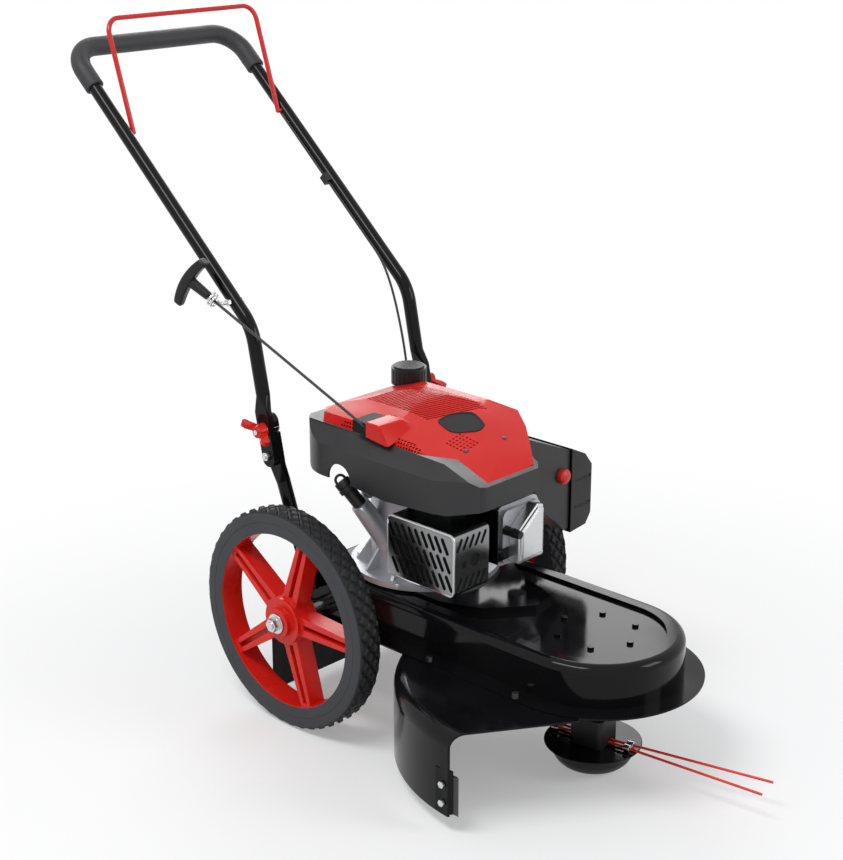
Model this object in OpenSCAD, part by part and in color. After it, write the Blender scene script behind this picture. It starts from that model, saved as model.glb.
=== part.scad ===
// Wheeled string trimmer: a petrol engine on a stamped deck drives a spinning line head by belt.
// Origin: ground under the spindle. +X forward, +Y to the operator's left, +Z up, millimetres.

/* [Wheels] */
// Outside diameter of each wheel over the tread
wheel_d = 355; // [348:1:362]
// Width of each tyre
tyre_w = 42; // [38:1:46]
// Diameter where the tyre seats on the rim
rim_d = 294; // [286:1:300]
// Radial thickness of the rim barrel
rim_wall = 8; // [6:0.5:11]
// Distance between the middle planes of the two tyres
track = 436; // [432:1:444]
// Diameter of the wheel hub
hub_d = 74; // [66:1:80]
// Length of the wheel hub along the axle
hub_len = 52; // [48:1:56]
// Width of a wheel spoke at the rim
spoke_w = 22; // [18:1:26]
// Width of the groove down the outside of a spoke
spoke_groove = 8; // [5:0.5:10]
// Depth of a spoke along the axle
spoke_depth = 30; // [24:1:36]
// Diameter of the axle
axle_d = 20; // [16:1:22]
// Width of a cross groove in the tread
tread_groove = 4; // [2:0.5:5]
// Depth of the tread grooves
tread_depth = 5; // [3:0.5:6]

/* [Deck] */
// Distance from the spindle back to the axle
wheelbase = 423; // [415:1:435]
// Outside width of the deck between its side walls
deck_w = 260; // [254:1:266]
// Height of the deck's top face
deck_top = 222; // [218:1:226]
// Depth of the deck from its top face to the underside of its lip
deck_depth = 67; // [62:1:70]
// Thickness of the deck's sheet steel
sheet = 2.5; // [2:0.25:3]
// Radius of the deck's top edge
edge_round = 13; // [9:1:16]
// Width of the lip round the foot of the deck
lip_w = 30; // [26:1:34]
// Distance from the deck's side to the recess in its top
recess_in = 28; // [24:1:34]
// Depth of the recess in the deck's top
recess_depth = 5; // [3:0.5:7]
// Distance from the axle back to the deck's rear wall
deck_tail = 57; // [50:1:62]
// Height of the engine seat above the deck's top face
seat_rise = 4; // [3:0.5:8]

/* [Guard] */
// Outside radius of the guard about the spindle
guard_r = 298; // [295:1:304]
// Height of the guard's lower edge above the ground
guard_low = 27; // [20:1:40]
// Radius of the guard's shoulder
guard_round = 22; // [16:1:28]
// Thickness of the guard
guard_sheet = 3; // [2.5:0.25:4]
// Height of the line cutter plate
cutter_h = 60; // [50:1:70]
// Length of the line cutter plate along the machine
cutter_len = 34; // [30:1:40]

/* [Cutting head] */
// Diameter of the cutting circle over the line tips
cut_d = 560; // [540:2:562]
// Diameter of the head's disc
disc_d = 148; // [140:1:156]
// Height of the disc's top face
disc_z = 40; // [37:1:44]
// Thickness of the disc
disc_t = 3; // [2.5:0.5:4]
// Diameter of the glide bowl at its rim
bowl_d = 122; // [112:1:128]
// Height of the glide bowl's rim
bowl_rim = 28; // [25:1:31]
// Diameter of the flat foot under the glide bowl
foot_d = 44; // [36:1:50]
// Diameter of a trimmer line
line_d = 4; // [3:0.5:4.5]
// Direction of the first pair of lines, from straight ahead
line_turn = 10; // [0:1:30]
// Diameter of the spindle
spindle_d = 25; // [22:1:26]
// Outside diameter of a spindle bearing
bearing_d = 52; // [50:1:56]
// Width of a spindle bearing
bearing_w = 15; // [13:1:16]

/* [Belt drive] */
// Distance from the crankshaft to the spindle
belt_centres = 345; // [338:1:352]
// Height of the belt's middle
belt_z = 152; // [148:1:156]
// Outside diameter of the engine pulley
engine_pulley_d = 66; // [60:1:72]
// Outside diameter of the spindle pulley
spindle_pulley_d = 102; // [96:1:108]
// Width of the belt across its back
belt_w = 13; // [11:0.5:14]
// Thickness of the belt
belt_t = 8; // [7:0.5:9]

/* [Engine] */
// Diameter of the round flange under the crankcase
flange_d = 236; // [228:1:240]
// Diameter of the crankshaft's output end
shaft_d = 22; // [20:1:24]
// Distance of the cylinder's axis to the left of the crankshaft
cyl_y = 15; // [8:1:20]
// Height of the cylinder's axis above the engine seat
cyl_z = 99; // [94:1:104]
// Length of the muffler guard
muffler_len = 136; // [128:1:142]
// Height of the muffler guard
muffler_h = 98; // [92:1:102]
// Width of the muffler guard
muffler_w = 76; // [70:1:78]
// Diameter of the flywheel
flywheel_d = 172; // [160:1:178]
// Diameter of the fuel cap
cap_d = 57; // [50:1:60]
// Height of the fuel cap
cap_h = 30; // [26:1:34]
// Diameter of the primer bulb
primer_d = 24; // [20:1:26]

/* [Handle] */
// Outside diameter of the handle tube
tube_d = 22; // [20:0.5:24]
// Wall of the handle tube
tube_wall = 1.6; // [1.2:0.2:2.4]
// Distance from the middle of the machine to each upper tube
handle_half = 171; // [170:0.5:174]
// Distance from the axle back to the fold pivot
pivot_back = 85.5; // [80:0.5:90]
// Height of the fold pivot
pivot_z = 411; // [405:1:418]
// Lean of the tube's lower leg from upright
lean_low = 11.6; // [10:0.2:13]
// Lean of the tube's long arm from upright
lean_up = 48; // [44:1:52]
// Distance from the fold pivot up to the elbow
elbow_at = 201; // [190:1:212]
// Bend radius of the elbow
elbow_r = 80; // [60:1:95]
// Length of the long arm from the elbow to the crossbar
arm_len = 572; // [550:1:590]
// Bend radius at the ends of the crossbar
corner_r = 48; // [40:1:56]
// Thickness of the flattened tube ends
flat_t = 10.6; // [9.4:0.2:10.8]
// Width of the flattened tube ends
flat_w = 27; // [25:1:30]
// Outside diameter of the foam grip
grip_d = 31; // [28:0.5:34]
// Length of foam down each arm from the crossbar
grip_leg = 84; // [76:1:92]
// Lean of the lower tube from upright
lean_foot = 20; // [18:0.5:22]
// Distance from the fold pivot up to the clamping bolt
clamp_up = 41; // [38:1:46]

/* [Controls] */
// Diameter of the bail's rod
bail_d = 8; // [7:0.5:9]
// Distance from the crossbar down to the bail's pivot
bail_drop = 181; // [174:1:190]
// Length of the bail from its pivot to its top bar
bail_len = 182; // [176:1:186]
// Lean of the released bail from upright
bail_lean = 18; // [14:1:22]
// Diameter of the starter rope
rope_d = 4.5; // [4:0.5:5]
// Length of the starter handle's bar
pull_bar = 90; // [80:1:100]
// Span of a wing knob
wing_span = 62; // [54:1:68]
// Diameter of the brake cable
cable_d = 4; // [3.5:0.5:4.5]

/* [Hidden] */
$fn = 48;
// Clearances: press is between fixed round pieces, run is a shaft in its hole, gap is a free face
press = 0.02;
run = 0.05;
gap = 0.3;
bolt_d = 8;
// Large enough to cut right through any piece
reach = 900;

axle_x = -wheelbase;
axle_z = wheel_d / 2;
deck_rear = axle_x - deck_tail;
lip_z = deck_top - deck_depth;
recess_top = deck_top - recess_depth;
recess_low = recess_top - sheet;
engine_seat = deck_top + seat_rise;
hub_in = -tyre_w / 2;
hub_out = hub_in + hub_len;
wheel_face = track / 2 + hub_in;
foot_y = handle_half - tube_d / 2 - gap;
bracket_y = foot_y - tube_d / 2;
bracket_t = 4;
pivot_x = axle_x - pivot_back;
elbow_turn = lean_up - lean_low;
elbow_tan = elbow_r * tan(elbow_turn / 2);
tongue_up = clamp_up + 30;
tongue_low = 18;
neck = 22;
bend_drop = 38;
bail_half = handle_half - tube_d / 2 - gap - bail_d / 2 - 1;
spindle_r = spindle_d / 2;
housing_r = bearing_d / 2 + 7;
screw_pcd = 122;
crank_r = shaft_d / 2;
journal_r = crank_r + 1.5;

// Engine outlines, measured from the crankshaft on the engine seat
shroud_back = -170;
shroud_front = 227;
shroud_half = 135;
shroud_side = [[-175, 168], [-125, 159], [-60, 159], [45, 152], [165, 160], [230, 180], [230, 260],
  [-148, 260], [-148, 242], [-175, 221]];
shroud_end = [[-140, 140], [-135, 210], [-112, 233], [-112, 260], [112, 260], [112, 233], [135, 210],
  [140, 140]];
cover_plan = [[-150, -62], [-112, -113], [105, -113], [223, -101], [217, 2], [150, 62], [75, 110],
  [-112, 110], [-150, 58]];
cover_side = [[-152, 200], [-152, 240], [-112, 259], [-60, 272], [10, 277], [70, 273], [150, 247], [190, 234],
  [226, 213], [226, 200]];
cover_end = [[-114, 200], [-114, 229], [-98, 247], [-69, 254], [20, 277], [64, 272], [100, 250], [114, 232],
  [114, 200]];
// The line in which cover and shroud meet, seen from the side: level, then down to the front
rim_line = [[-300, 239], [145, 231], [300, 202]];
// A point on the plane face at the cover's front right, and its lean to the right and to the front
hood_at = [50, -98, 241];
hood_roll = 13.9;
hood_dip = 7.7;
shell_keep = 0.975;
filter_back = 83;
filter_front = 167;
base_outline = [[46, 234], [150, 190], [150, 60], [138, 60], [118, 80], [70, 116], [66, 150], [46, 150]];
lid_outline = [[150.4, 193], [184, 177], [201, 156], [201, 74], [189, 57], [150.4, 53]];
primer_y = 132;
primer_z = 152;
cap_x = -105;
cap_y = 72;
cap_z = 259;
ring_in = 66;
ring_out = 82;
ring_z = 237;
muffler_x = 62;
muffler_y = -150;
muffler_z = 45;
filler_root = [-10, -70, 50];
filler_foot = [-34, -106, 114];
filler_tip = [-58, -117, 144];
outlet = [-12, -120, 253];

// Starter rope guide, outside the right tube, and the way the rope pulls
guide = [-592, -210, 650];
rope_end = [outlet[0] - belt_centres, outlet[1], outlet[2] + engine_seat];
pull = (guide - rope_end) / norm(guide - rope_end);
stem_len = 48;
// Length of rope inside the outlet's hole
rope_in = 14;

// Shared shapes
module ring_2d(d, wall) {
  difference() {
    circle(d = d);
    circle(d = d - 2 * wall);
  }
}

module pipe(h) {
  linear_extrude(h) ring_2d(tube_d, tube_wall);
}

module round_rect(w, h, r) {
  square([w - 2 * r, h], center = true);
  square([w, h - 2 * r], center = true);
  for (x = [-1, 1], y = [-1, 1])
    translate([x * (w / 2 - r), y * (h / 2 - r)]) circle(r = r);
}

module slot_2d(len, w) {
  square([len - w, w], center = true);
  for (s = [-1, 1]) translate([s * (len - w) / 2, 0]) circle(d = w);
}

module ring(d_out, d_in, h) {
  difference() {
    cylinder(d = d_out, h = h);
    translate([0, 0, -1]) cylinder(d = d_in, h = h + 2);
  }
}

// A hexagon bolt with its head above the face and its shank below
module hex_bolt(d, grip, head) {
  cylinder(d = 1.8 * d, h = head, $fn = 6);
  translate([0, 0, -grip]) cylinder(d = d, h = grip);
}

// A bolt with a nut at the far end
module bolt_and_nut(d, grip, head) {
  hex_bolt(d, grip + head + 2, head);
  translate([0, 0, -grip - head]) cylinder(d = 1.8 * d, h = head, $fn = 6);
}

module both_sides() {
  for (s = [0, 1]) mirror([0, s, 0]) children();
}

module on_engine() {
  translate([-belt_centres, 0, engine_seat]) children();
}

// Turns a piece drawn up +Z to lie along +Y
module along_y() {
  rotate([-90, 0, 0]) children();
}

// Turns an outline drawn in width and height to be extruded along +X
module along_x() {
  rotate([90, 0, 90]) children();
}

// Places a piece drawn up +Z at a, pointing towards b
module between(a, b) {
  d = b - a;
  translate(a) rotate([0, acos(d[2] / norm(d)), atan2(d[1], d[0])]) children();
}

// A round cord swept along its points, its end rings square to its ends
module cord(points, d, sides) {
  n = len(points);
  tangent = [for (i = [0 : n - 1]) points[min(i + 1, n - 1)] - points[max(i - 1, 0)]];
  side = [for (t = tangent) cross(t, [0.2, 0.3, 0.1]) / norm(cross(t, [0.2, 0.3, 0.1]))];
  rings = [for (i = [0 : n - 1]) for (k = [0 : sides - 1])
    let (up = cross(tangent[i] / norm(tangent[i]), side[i]), a = 360 * k / sides)
    points[i] + d / 2 * (cos(a) * side[i] + sin(a) * up)];
  walls = [for (i = [0 : n - 2]) for (k = [0 : sides - 1])
    let (p = i * sides + k, q = i * sides + (k + 1) % sides)
    each [[p, q + sides, q], [p, p + sides, q + sides]]];
  start = [for (k = [1 : sides - 2]) [0, k, k + 1]];
  last = (n - 1) * sides;
  finish = [for (k = [1 : sides - 2]) [last, last + k + 1, last + k]];
  polyhedron(points = rings, faces = concat(walls, start, finish));
}

// Points spread evenly along straight legs between the corners of a route
function spread(corners, step) = [
  for (i = [0 : len(corners) - 2])
    let (a = corners[i], b = corners[i + 1], n = ceil(norm(b - a) / step))
    for (k = [0 : (i == len(corners) - 2 ? n : n - 1)]) a + (b - a) * k / n
];

// Deck: a pressed sheet pan with a round nose, a rolled top edge, a recessed top and a lip
module deck_fill() {
  translate([0, lip_z]) square([deck_w / 2, deck_depth - edge_round]);
  translate([0, lip_z]) square([deck_w / 2 - edge_round, deck_depth]);
  translate([deck_w / 2 - edge_round, deck_top - edge_round]) circle(r = edge_round);
}

module deck_section() {
  difference() {
    union() {
      deck_fill();
      translate([0, lip_z]) square([deck_w / 2 + lip_w, sheet]);
    }
    translate([0, lip_z]) square([deck_w / 2 - sheet, deck_depth - edge_round]);
    translate([0, lip_z]) square([deck_w / 2 - edge_round, deck_depth - sheet]);
    translate([deck_w / 2 - edge_round, deck_top - edge_round]) circle(r = edge_round - sheet);
    translate([0, recess_top]) square([deck_w / 2 - recess_in, recess_depth]);
  }
  translate([0, recess_low]) square([deck_w / 2 - recess_in + sheet, sheet]);
}

seat_plan = [[-125, -96], [120, -96], [183, -72], [235, -7], [228, 37], [142, 66], [100, 96], [-125, 96]];
engine_bolt_r = 101.6;
engine_bolts = [38, 142, 218, 322];
lip_bolts = [[-199, -146], [-29, -147]];
lip_bolt_d = 6;
screw_hole = lip_bolt_d + 2 * gap;

module spindle_screw_places() {
  for (i = [0 : 5]) rotate([0, 0, 60 * i]) translate([screw_pcd / 2, 0, 0]) children();
}

module deck() {
  color("#17181a") difference() {
    union() {
      rotate([0, 0, -90]) rotate_extrude(angle = 180, $fn = 128) deck_section();
      translate([deck_rear, 0, 0]) along_x() linear_extrude(-deck_rear) {
        deck_section();
        mirror([1, 0]) deck_section();
      }
      translate([deck_rear, 0, 0]) along_x() linear_extrude(sheet) {
        deck_fill();
        mirror([1, 0]) deck_fill();
      }
      translate([deck_rear - lip_w, -deck_w / 2 - lip_w, lip_z])
        cube([lip_w + sheet, deck_w + 2 * lip_w, sheet]);
      translate([-belt_centres, 0, recess_low])
        linear_extrude(engine_seat - recess_low) polygon(seat_plan);
    }
    translate([-belt_centres, 0, lip_z])
      linear_extrude(engine_seat - sheet - lip_z) scale(0.96) polygon(seat_plan);
    translate([-belt_centres, 0, lip_z]) cylinder(r = crank_r + 8, h = deck_depth + seat_rise + 1);
    on_engine() for (a = engine_bolts) rotate([0, 0, a])
      translate([engine_bolt_r, 0, -deck_depth]) cylinder(d = bolt_d + 2 * gap, h = deck_depth + 1);
    spindle_screw_places() translate([0, 0, recess_low - 1]) cylinder(d = screw_hole, h = sheet + 2);
    for (p = lip_bolts) translate([p[0], p[1], lip_z - 1]) cylinder(d = screw_hole, h = sheet + 2);
    translate([axle_x, -deck_w, axle_z]) along_y() cylinder(d = axle_d + 4, h = 2 * deck_w);
  }
}

// Guard: a sheet sector round the right of the cutting circle, with a flat pad for the line cutter
guard_tip = 22;
panel_r = sqrt(guard_r * guard_r - guard_tip * guard_tip);
panel_in = panel_r - guard_sheet - 4;
guard_back = 180 - asin((deck_w / 2 + 8) / guard_r);
nose_cut = [70, -deck_w / 2 - lip_w + 1];
nose_turn = 60;
cutter_t = 3;
cutter_front = 8;
cutter_low = guard_low + 3;
cutter_bolts = [cutter_low + 17, cutter_low + 46];

module guard_section(r) {
  difference() {
    union() {
      translate([0, guard_low]) square([r, lip_z - guard_round - guard_low]);
      translate([0, guard_low]) square([r - guard_round, lip_z - guard_low]);
      translate([r - guard_round, lip_z - guard_round]) circle(r = guard_round);
    }
    translate([0, guard_low]) square([r - guard_sheet, lip_z - guard_round - guard_low]);
    translate([0, guard_low]) square([r - guard_round, lip_z - guard_sheet - guard_low]);
    translate([r - guard_round, lip_z - guard_round]) circle(r = guard_round - guard_sheet);
  }
}

module cutter_bolt_places() {
  for (z = cutter_bolts) translate([-guard_tip - 9, -guard_r, z]) children();
}

module side_guard() {
  cut = nose_cut - [-guard_tip, -panel_r];
  color("#17181a") difference() {
    union() {
      rotate([0, 0, -guard_back])
        rotate_extrude(angle = guard_back - nose_turn, $fn = 160) guard_section(guard_r);
      translate([-cutter_front - cutter_len - 4, -panel_r + 1, cutter_low])
        cube([cutter_len + 4, panel_r - panel_in - 1, cutter_h + 8]);
    }
    translate([-guard_tip, -panel_r, 0]) rotate([0, 0, atan2(cut[1], cut[0])])
      translate([-reach / 2, -reach, 0]) cube([reach, reach, reach]);
    translate([-reach, -deck_w / 2 + 14, 0]) cube([2 * reach, reach, reach]);
    for (p = lip_bolts) translate([p[0], p[1], lip_z - guard_sheet - 1])
      cylinder(d = screw_hole, h = guard_sheet + 2);
    cutter_bolt_places() translate([0, -2, 0]) along_y() cylinder(d = screw_hole, h = 20);
  }
}

// Line cutter: a steel plate behind the guard's flat end, ground to an edge at its front
module line_cutter() {
  back = -cutter_front - cutter_len;
  inner = -panel_in + cutter_t;
  color("#5c5f63") difference() {
    translate([0, 0, cutter_low]) linear_extrude(cutter_h) polygon([
      [back, -panel_in], [-cutter_front, -panel_in], [-cutter_front, -panel_in + 0.8],
      [-cutter_front - 5, inner], [back, inner]
    ]);
    cutter_bolt_places() along_y() cylinder(d = screw_hole, h = 20);
  }
}

bolt_head = 4;

module deck_bolts() {
  color("#8b8e92") {
    spindle_screw_places() translate([0, 0, recess_top]) hex_bolt(lip_bolt_d, sheet + 6, bolt_head);
    for (p = lip_bolts) translate([p[0], p[1], lip_top])
      bolt_and_nut(lip_bolt_d, sheet + guard_sheet, bolt_head);
    cutter_bolt_places() rotate([90, 0, 0]) hex_bolt(lip_bolt_d, guard_r - panel_in + cutter_t, bolt_head);
  }
}

// Axle brackets: a plate on each side of the deck, with a shelf and a flange to the deck's wall
lip_top = lip_z + sheet;
shelf_z = axle_z + 20;
bracket_plate = [[-55, lip_top], [40, lip_top], [40, axle_z + 12], [14, axle_z + 26],
  [-16, axle_z + 84], [-46, axle_z + 84], [-55, axle_z + 30]];
foot_up = 23.5;
tube_bolts = [15, 47];
pivot_drop = pivot_z - bend_drop * cos(lean_low);
foot_len = (pivot_drop - axle_z - foot_up) / cos(lean_foot);

module handle_frame() {
  translate([pivot_x, 0, pivot_z]) rotate([0, -lean_low, 0]) children();
}

// The arm's frame, turned about the middle of the elbow's bend so that bend and arm meet squarely
module arm_frame() {
  handle_frame() elbow_bend() rotate([0, -elbow_turn, 0]) translate([elbow_r, 0, -elbow_tan]) children();
}

module elbow_bend() {
  translate([-elbow_r, 0, elbow_at - elbow_tan]) children();
}

module foot_frame() {
  handle_frame() translate([0, 0, -bend_drop]) rotate([0, lean_low - lean_foot, 0]) children();
}

module tube_bolt_places() {
  foot_frame() for (up = tube_bolts) translate([0, foot_y + tube_d / 2, up - foot_len]) children();
}

module axle_brackets() {
  color("#17181a") both_sides() difference() {
    union() {
      translate([axle_x, bracket_y, 0]) rotate([90, 0, 0]) linear_extrude(bracket_t) polygon(bracket_plate);
      translate([axle_x - 50, deck_w / 2, shelf_z]) cube([85, bracket_y - deck_w / 2 - 1, sheet]);
      translate([axle_x - 50, deck_w / 2, lip_top]) cube([85, sheet, shelf_z + sheet - lip_top]);
    }
    translate([axle_x, 0, axle_z]) along_y() cylinder(r = axle_d / 2 + press, h = track);
    tube_bolt_places() rotate([90, 0, 0]) cylinder(d = screw_hole, h = 2 * tube_d);
  }
}

// Axle: a fixed shaft, stepped down to a thread outside each wheel
axle_thread_d = 12;
axle_shoulder = track / 2 + hub_out + gap;
axle_washer_t = 2.5;
axle_nut_h = 10;

module axle() {
  color("#7f8286") translate([axle_x, 0, axle_z]) both_sides() along_y() {
    cylinder(d = axle_d, h = axle_shoulder);
    cylinder(d = axle_thread_d, h = axle_shoulder + axle_washer_t + axle_nut_h + 2);
  }
}

module axle_fittings() {
  color("#9a9da1") translate([axle_x, 0, axle_z]) both_sides() along_y() {
    translate([0, 0, bracket_y]) ring(axle_d + 8, axle_d + 2 * press, wheel_face - gap - bracket_y);
    translate([0, 0, axle_shoulder]) ring(32, axle_thread_d + 2 * press, axle_washer_t);
    translate([0, 0, axle_shoulder + axle_washer_t]) difference() {
      cylinder(d = 22, h = axle_nut_h, $fn = 6);
      translate([0, 0, -1]) cylinder(d = axle_thread_d + 2 * press, h = axle_nut_h + 2);
    }
  }
}

// Rear flap and the angle bar that hangs it under the deck's rear lip
bar_x = deck_rear - 22;
bar_t = 3;
bar_low = lip_z - 45;
flap_half = 187;
flap_t = 4;
flap_low = 14;
flap_top = lip_z - 5;
flap_bolts = [-150, -50, 50, 150];

module flap_bolt_places() {
  for (y = flap_bolts) translate([bar_x - flap_t, y, (bar_low + flap_top) / 2])
    rotate([0, -90, 0]) children();
}

module flap_bar() {
  color("#202124") difference() {
    union() {
      translate([bar_x, -flap_half, bar_low]) cube([bar_t, 2 * flap_half, lip_z - bar_low]);
      translate([bar_x, -flap_half, lip_z - bar_t]) cube([20, 2 * flap_half, bar_t]);
    }
    flap_bolt_places() translate([0, 0, -10]) cylinder(d = screw_hole, h = 20);
  }
}

module rear_flap() {
  hem = 12;
  color("#232426") difference() {
    union() {
      translate([bar_x - flap_t, -flap_half, flap_low]) cube([flap_t, 2 * flap_half, flap_top - flap_low]);
      translate([bar_x - flap_t - 2, -flap_half, flap_low]) cube([3, 2 * flap_half, hem]);
    }
    flap_bolt_places() translate([0, 0, -10]) cylinder(d = screw_hole, h = 20);
  }
}

// Handle tubes: a strip flat_w wide, with one round end, is where two tubes are clamped flat to flat
module strip_2d(low, high) {
  translate([-flat_w / 2, low]) square([flat_w, high - flat_w / 2 - low]);
  translate([0, high - flat_w / 2]) circle(d = flat_w);
}

// The clamping bolt swings out of the lower tongue through this slot
module swing_slot_2d() {
  w = bolt_d / 2 + gap;
  translate([0, clamp_up]) circle(r = w);
  intersection() {
    difference() {
      circle(r = clamp_up + w);
      circle(r = clamp_up - w);
    }
    polygon([[0, 0], [0, 2 * clamp_up], [1.5 * clamp_up, 2 * clamp_up]]);
  }
}

lower_out = foot_y + tube_d / 2;
lower_in = lower_out - flat_t;
upper_in = handle_half;
upper_out = upper_in + flat_t;

// The neck of a lower tube takes in the end of its round run
neck_lap = 8;

module lower_tube() {
  color("#17181a") difference() {
    union() {
      foot_frame() translate([0, foot_y, -foot_len]) pipe(foot_len - neck_lap + 1);
      hull() {
        foot_frame() translate([0, foot_y, -neck_lap]) cylinder(d = tube_d + 0.4, h = 2, $fn = 32);
        handle_frame() translate([gap - flat_w / 2, lower_in + gap, -tongue_low])
          cube([flat_w - 2 * gap, flat_t - 2 * gap, 4]);
      }
      handle_frame() translate([0, lower_out, 0]) rotate([90, 0, 0]) linear_extrude(flat_t) difference() {
        strip_2d(-tongue_low, tongue_up - 6);
        swing_slot_2d();
        circle(d = bolt_d + 2 * gap);
      }
    }
    tube_bolt_places() translate([0, 1, 0]) rotate([90, 0, 0]) cylinder(d = screw_hole, h = 2 * tube_d);
  }
}

module lower_tube_left() {
  lower_tube();
}

module lower_tube_right() {
  mirror([0, 1, 0]) lower_tube();
}

// Chassis fasteners: lower tubes, fold pivots, flap and engine
module frame_bolts() {
  pivot_head = 6;
  color("#a4a7ab") {
    both_sides() {
      tube_bolt_places() rotate([-90, 0, 0]) bolt_and_nut(lip_bolt_d, tube_d + bracket_t, bolt_head);
      handle_frame() translate([0, lower_in - pivot_head, 0]) along_y() {
        cylinder(d = 1.8 * bolt_d, h = pivot_head, $fn = 6);
        cylinder(d = bolt_d, h = upper_out - lower_in + 2 * pivot_head + gap + 3);
        translate([0, 0, upper_out - lower_in + pivot_head + gap])
          cylinder(d = 1.8 * bolt_d, h = pivot_head, $fn = 6);
      }
    }
    flap_bolt_places() bolt_and_nut(lip_bolt_d, flap_t + bar_t, bolt_head);
    on_engine() for (a = engine_bolts) rotate([0, 0, a])
      translate([engine_bolt_r, 0, flange_t]) bolt_and_nut(bolt_d, flange_t + sheet, 5);
  }
}

// Wheels: a moulded rim with five grooved spokes, and a tyre with slanted tread grooves
rim_half = tyre_w / 2 - 1;
spoke_top = tyre_w / 2 - 7;
spokes = 5;
tread_blocks = 36;

module at_wheel(s) {
  translate([axle_x, s * track / 2, axle_z]) rotate([-90 * s, 0, 0]) children();
}

module rim() {
  barrel_in = rim_d / 2 - rim_wall;
  hub_r = hub_d / 2;
  difference() {
    union() {
      translate([0, 0, -rim_half]) ring(rim_d, 2 * barrel_in, 2 * rim_half);
      translate([0, 0, hub_in]) cylinder(r = hub_r, h = hub_len - 10);
      translate([0, 0, hub_in]) cylinder(r = hub_r - 13, h = hub_len);
      for (i = [0 : spokes - 1]) rotate([0, 0, 360 * i / spokes])
        translate([0, 0, spoke_top - spoke_depth]) linear_extrude(spoke_depth) polygon([
          [hub_r - 6, -spoke_w / 2 - 5], [barrel_in + 1, -spoke_w / 2],
          [barrel_in + 1, spoke_w / 2], [hub_r - 6, spoke_w / 2 + 5]
        ]);
    }
    for (i = [0 : spokes - 1]) rotate([0, 0, 360 * i / spokes])
      translate([hub_r + 4, -spoke_groove / 2, spoke_top - 12])
        cube([barrel_in - hub_r - 8, spoke_groove, 20]);
    translate([0, 0, hub_in - 1]) cylinder(r = axle_d / 2 + run, h = hub_len + 2);
  }
}

module rim_left() {
  color("#c41410") at_wheel(1) rim();
}

module rim_right() {
  color("#c41410") at_wheel(-1) rim();
}

module tyre() {
  r = wheel_d / 2;
  seat = rim_d / 2 + press;
  w = tyre_w / 2;
  difference() {
    rotate_extrude($fn = 96) polygon([
      [seat, -w + 1], [seat + 3, -w], [r - 9, -w], [r - 2.5, -w + 4.5], [r, -w + 11],
      [r, w - 11], [r - 2.5, w - 4.5], [r - 9, w], [seat + 3, w], [seat, w - 1]
    ]);
    for (side = [-1, 1], i = [0 : tread_blocks - 1])
      rotate([0, 0, 360 * (i + side / 4) / tread_blocks]) translate([r - tread_depth, 0, side * w * 0.62])
        rotate([side * 28, 0, 0]) cube([4 * tread_depth, tread_groove, w], center = true);
  }
}

module tyre_left() {
  color("#2c2d2f") at_wheel(1) tyre();
}

module tyre_right() {
  color("#2c2d2f") at_wheel(-1) tyre();
}

// Spindle: a cast housing under the deck holds two bearings
flange_low = recess_low - 6;
housing_low = recess_low - 42;
lower_bearing = housing_low + 1.5;
upper_bearing = recess_low - bearing_w - 4.5;
collar_low = lower_bearing + bearing_w + gap;

module spindle_housing() {
  color("#6d7074") difference() {
    union() {
      translate([0, 0, flange_low]) cylinder(d = screw_pcd + 22, h = 6);
      translate([0, 0, housing_low]) cylinder(r = housing_r, h = recess_low - housing_low);
      for (i = [0 : 5]) rotate([0, 0, 60 * i + 30]) translate([housing_r - 2, 3, flange_low])
        rotate([90, 0, 0]) linear_extrude(6) polygon([[0, -22], [0, 1], [24, 1], [24, -2]]);
    }
    translate([0, 0, housing_low - 1])
      cylinder(d = bearing_d + 2 * press, h = lower_bearing + bearing_w - housing_low + 1);
    translate([0, 0, housing_low]) cylinder(d = bearing_d - 8, h = recess_low - housing_low);
    translate([0, 0, upper_bearing]) cylinder(d = bearing_d + 2 * press, h = recess_low - upper_bearing + 1);
    spindle_screw_places() translate([0, 0, flange_low - 1]) cylinder(d = screw_hole, h = 8);
  }
}

module spindle_bearings() {
  color("#c3c6c9") for (z = [lower_bearing, upper_bearing]) translate([0, 0, z])
    ring(bearing_d, spindle_d + 2 * run, bearing_w);
}

module spindle() {
  color("#8b8e92") {
    translate([0, 0, disc_z - disc_t]) cylinder(r = spindle_r, h = recess_low - 1 - disc_z + disc_t);
    translate([0, 0, collar_low]) cylinder(r = spindle_r + 3, h = upper_bearing - gap - collar_low);
  }
}

// Belt drive: a wedge belt in two grooved pulleys
pulley_w = belt_w + 6;
belt_in_w = belt_w - 2 * belt_t * tan(19);
groove_gap = 0.4;
belt_lean = asin((spindle_pulley_d - engine_pulley_d) / 2 / belt_centres);
belt_wrap = 90 + belt_lean;

module pulley(d, bore) {
  r = d / 2;
  bed = r - belt_t - 1;
  outer = belt_w / 2 + groove_gap;
  inner = belt_in_w / 2 + groove_gap;
  rotate_extrude($fn = 72) polygon([
    [bore, -pulley_w / 2], [r, -pulley_w / 2], [r, -outer], [bed, -inner],
    [bed, inner], [r, outer], [r, pulley_w / 2], [bore, pulley_w / 2]
  ]);
}

module spindle_pulley() {
  color("#6d7074") translate([0, 0, belt_z]) {
    pulley(spindle_pulley_d, spindle_r + press);
    translate([0, 0, pulley_w / 2]) ring(spindle_d + 18, spindle_d + 2 * press, 8);
  }
}

module engine_pulley() {
  color("#6d7074") translate([-belt_centres, 0, belt_z]) {
    pulley(engine_pulley_d, crank_r + press);
    translate([0, 0, pulley_w / 2]) ring(shaft_d + 14, shaft_d + 2 * press, 10);
  }
}

module belt_section(r, swell) {
  back = belt_w / 2 + swell;
  face = belt_in_w / 2 + swell;
  polygon([[r + swell, -back], [r + swell, back], [r - belt_t - swell, face], [r - belt_t - swell, -face]]);
}

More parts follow.
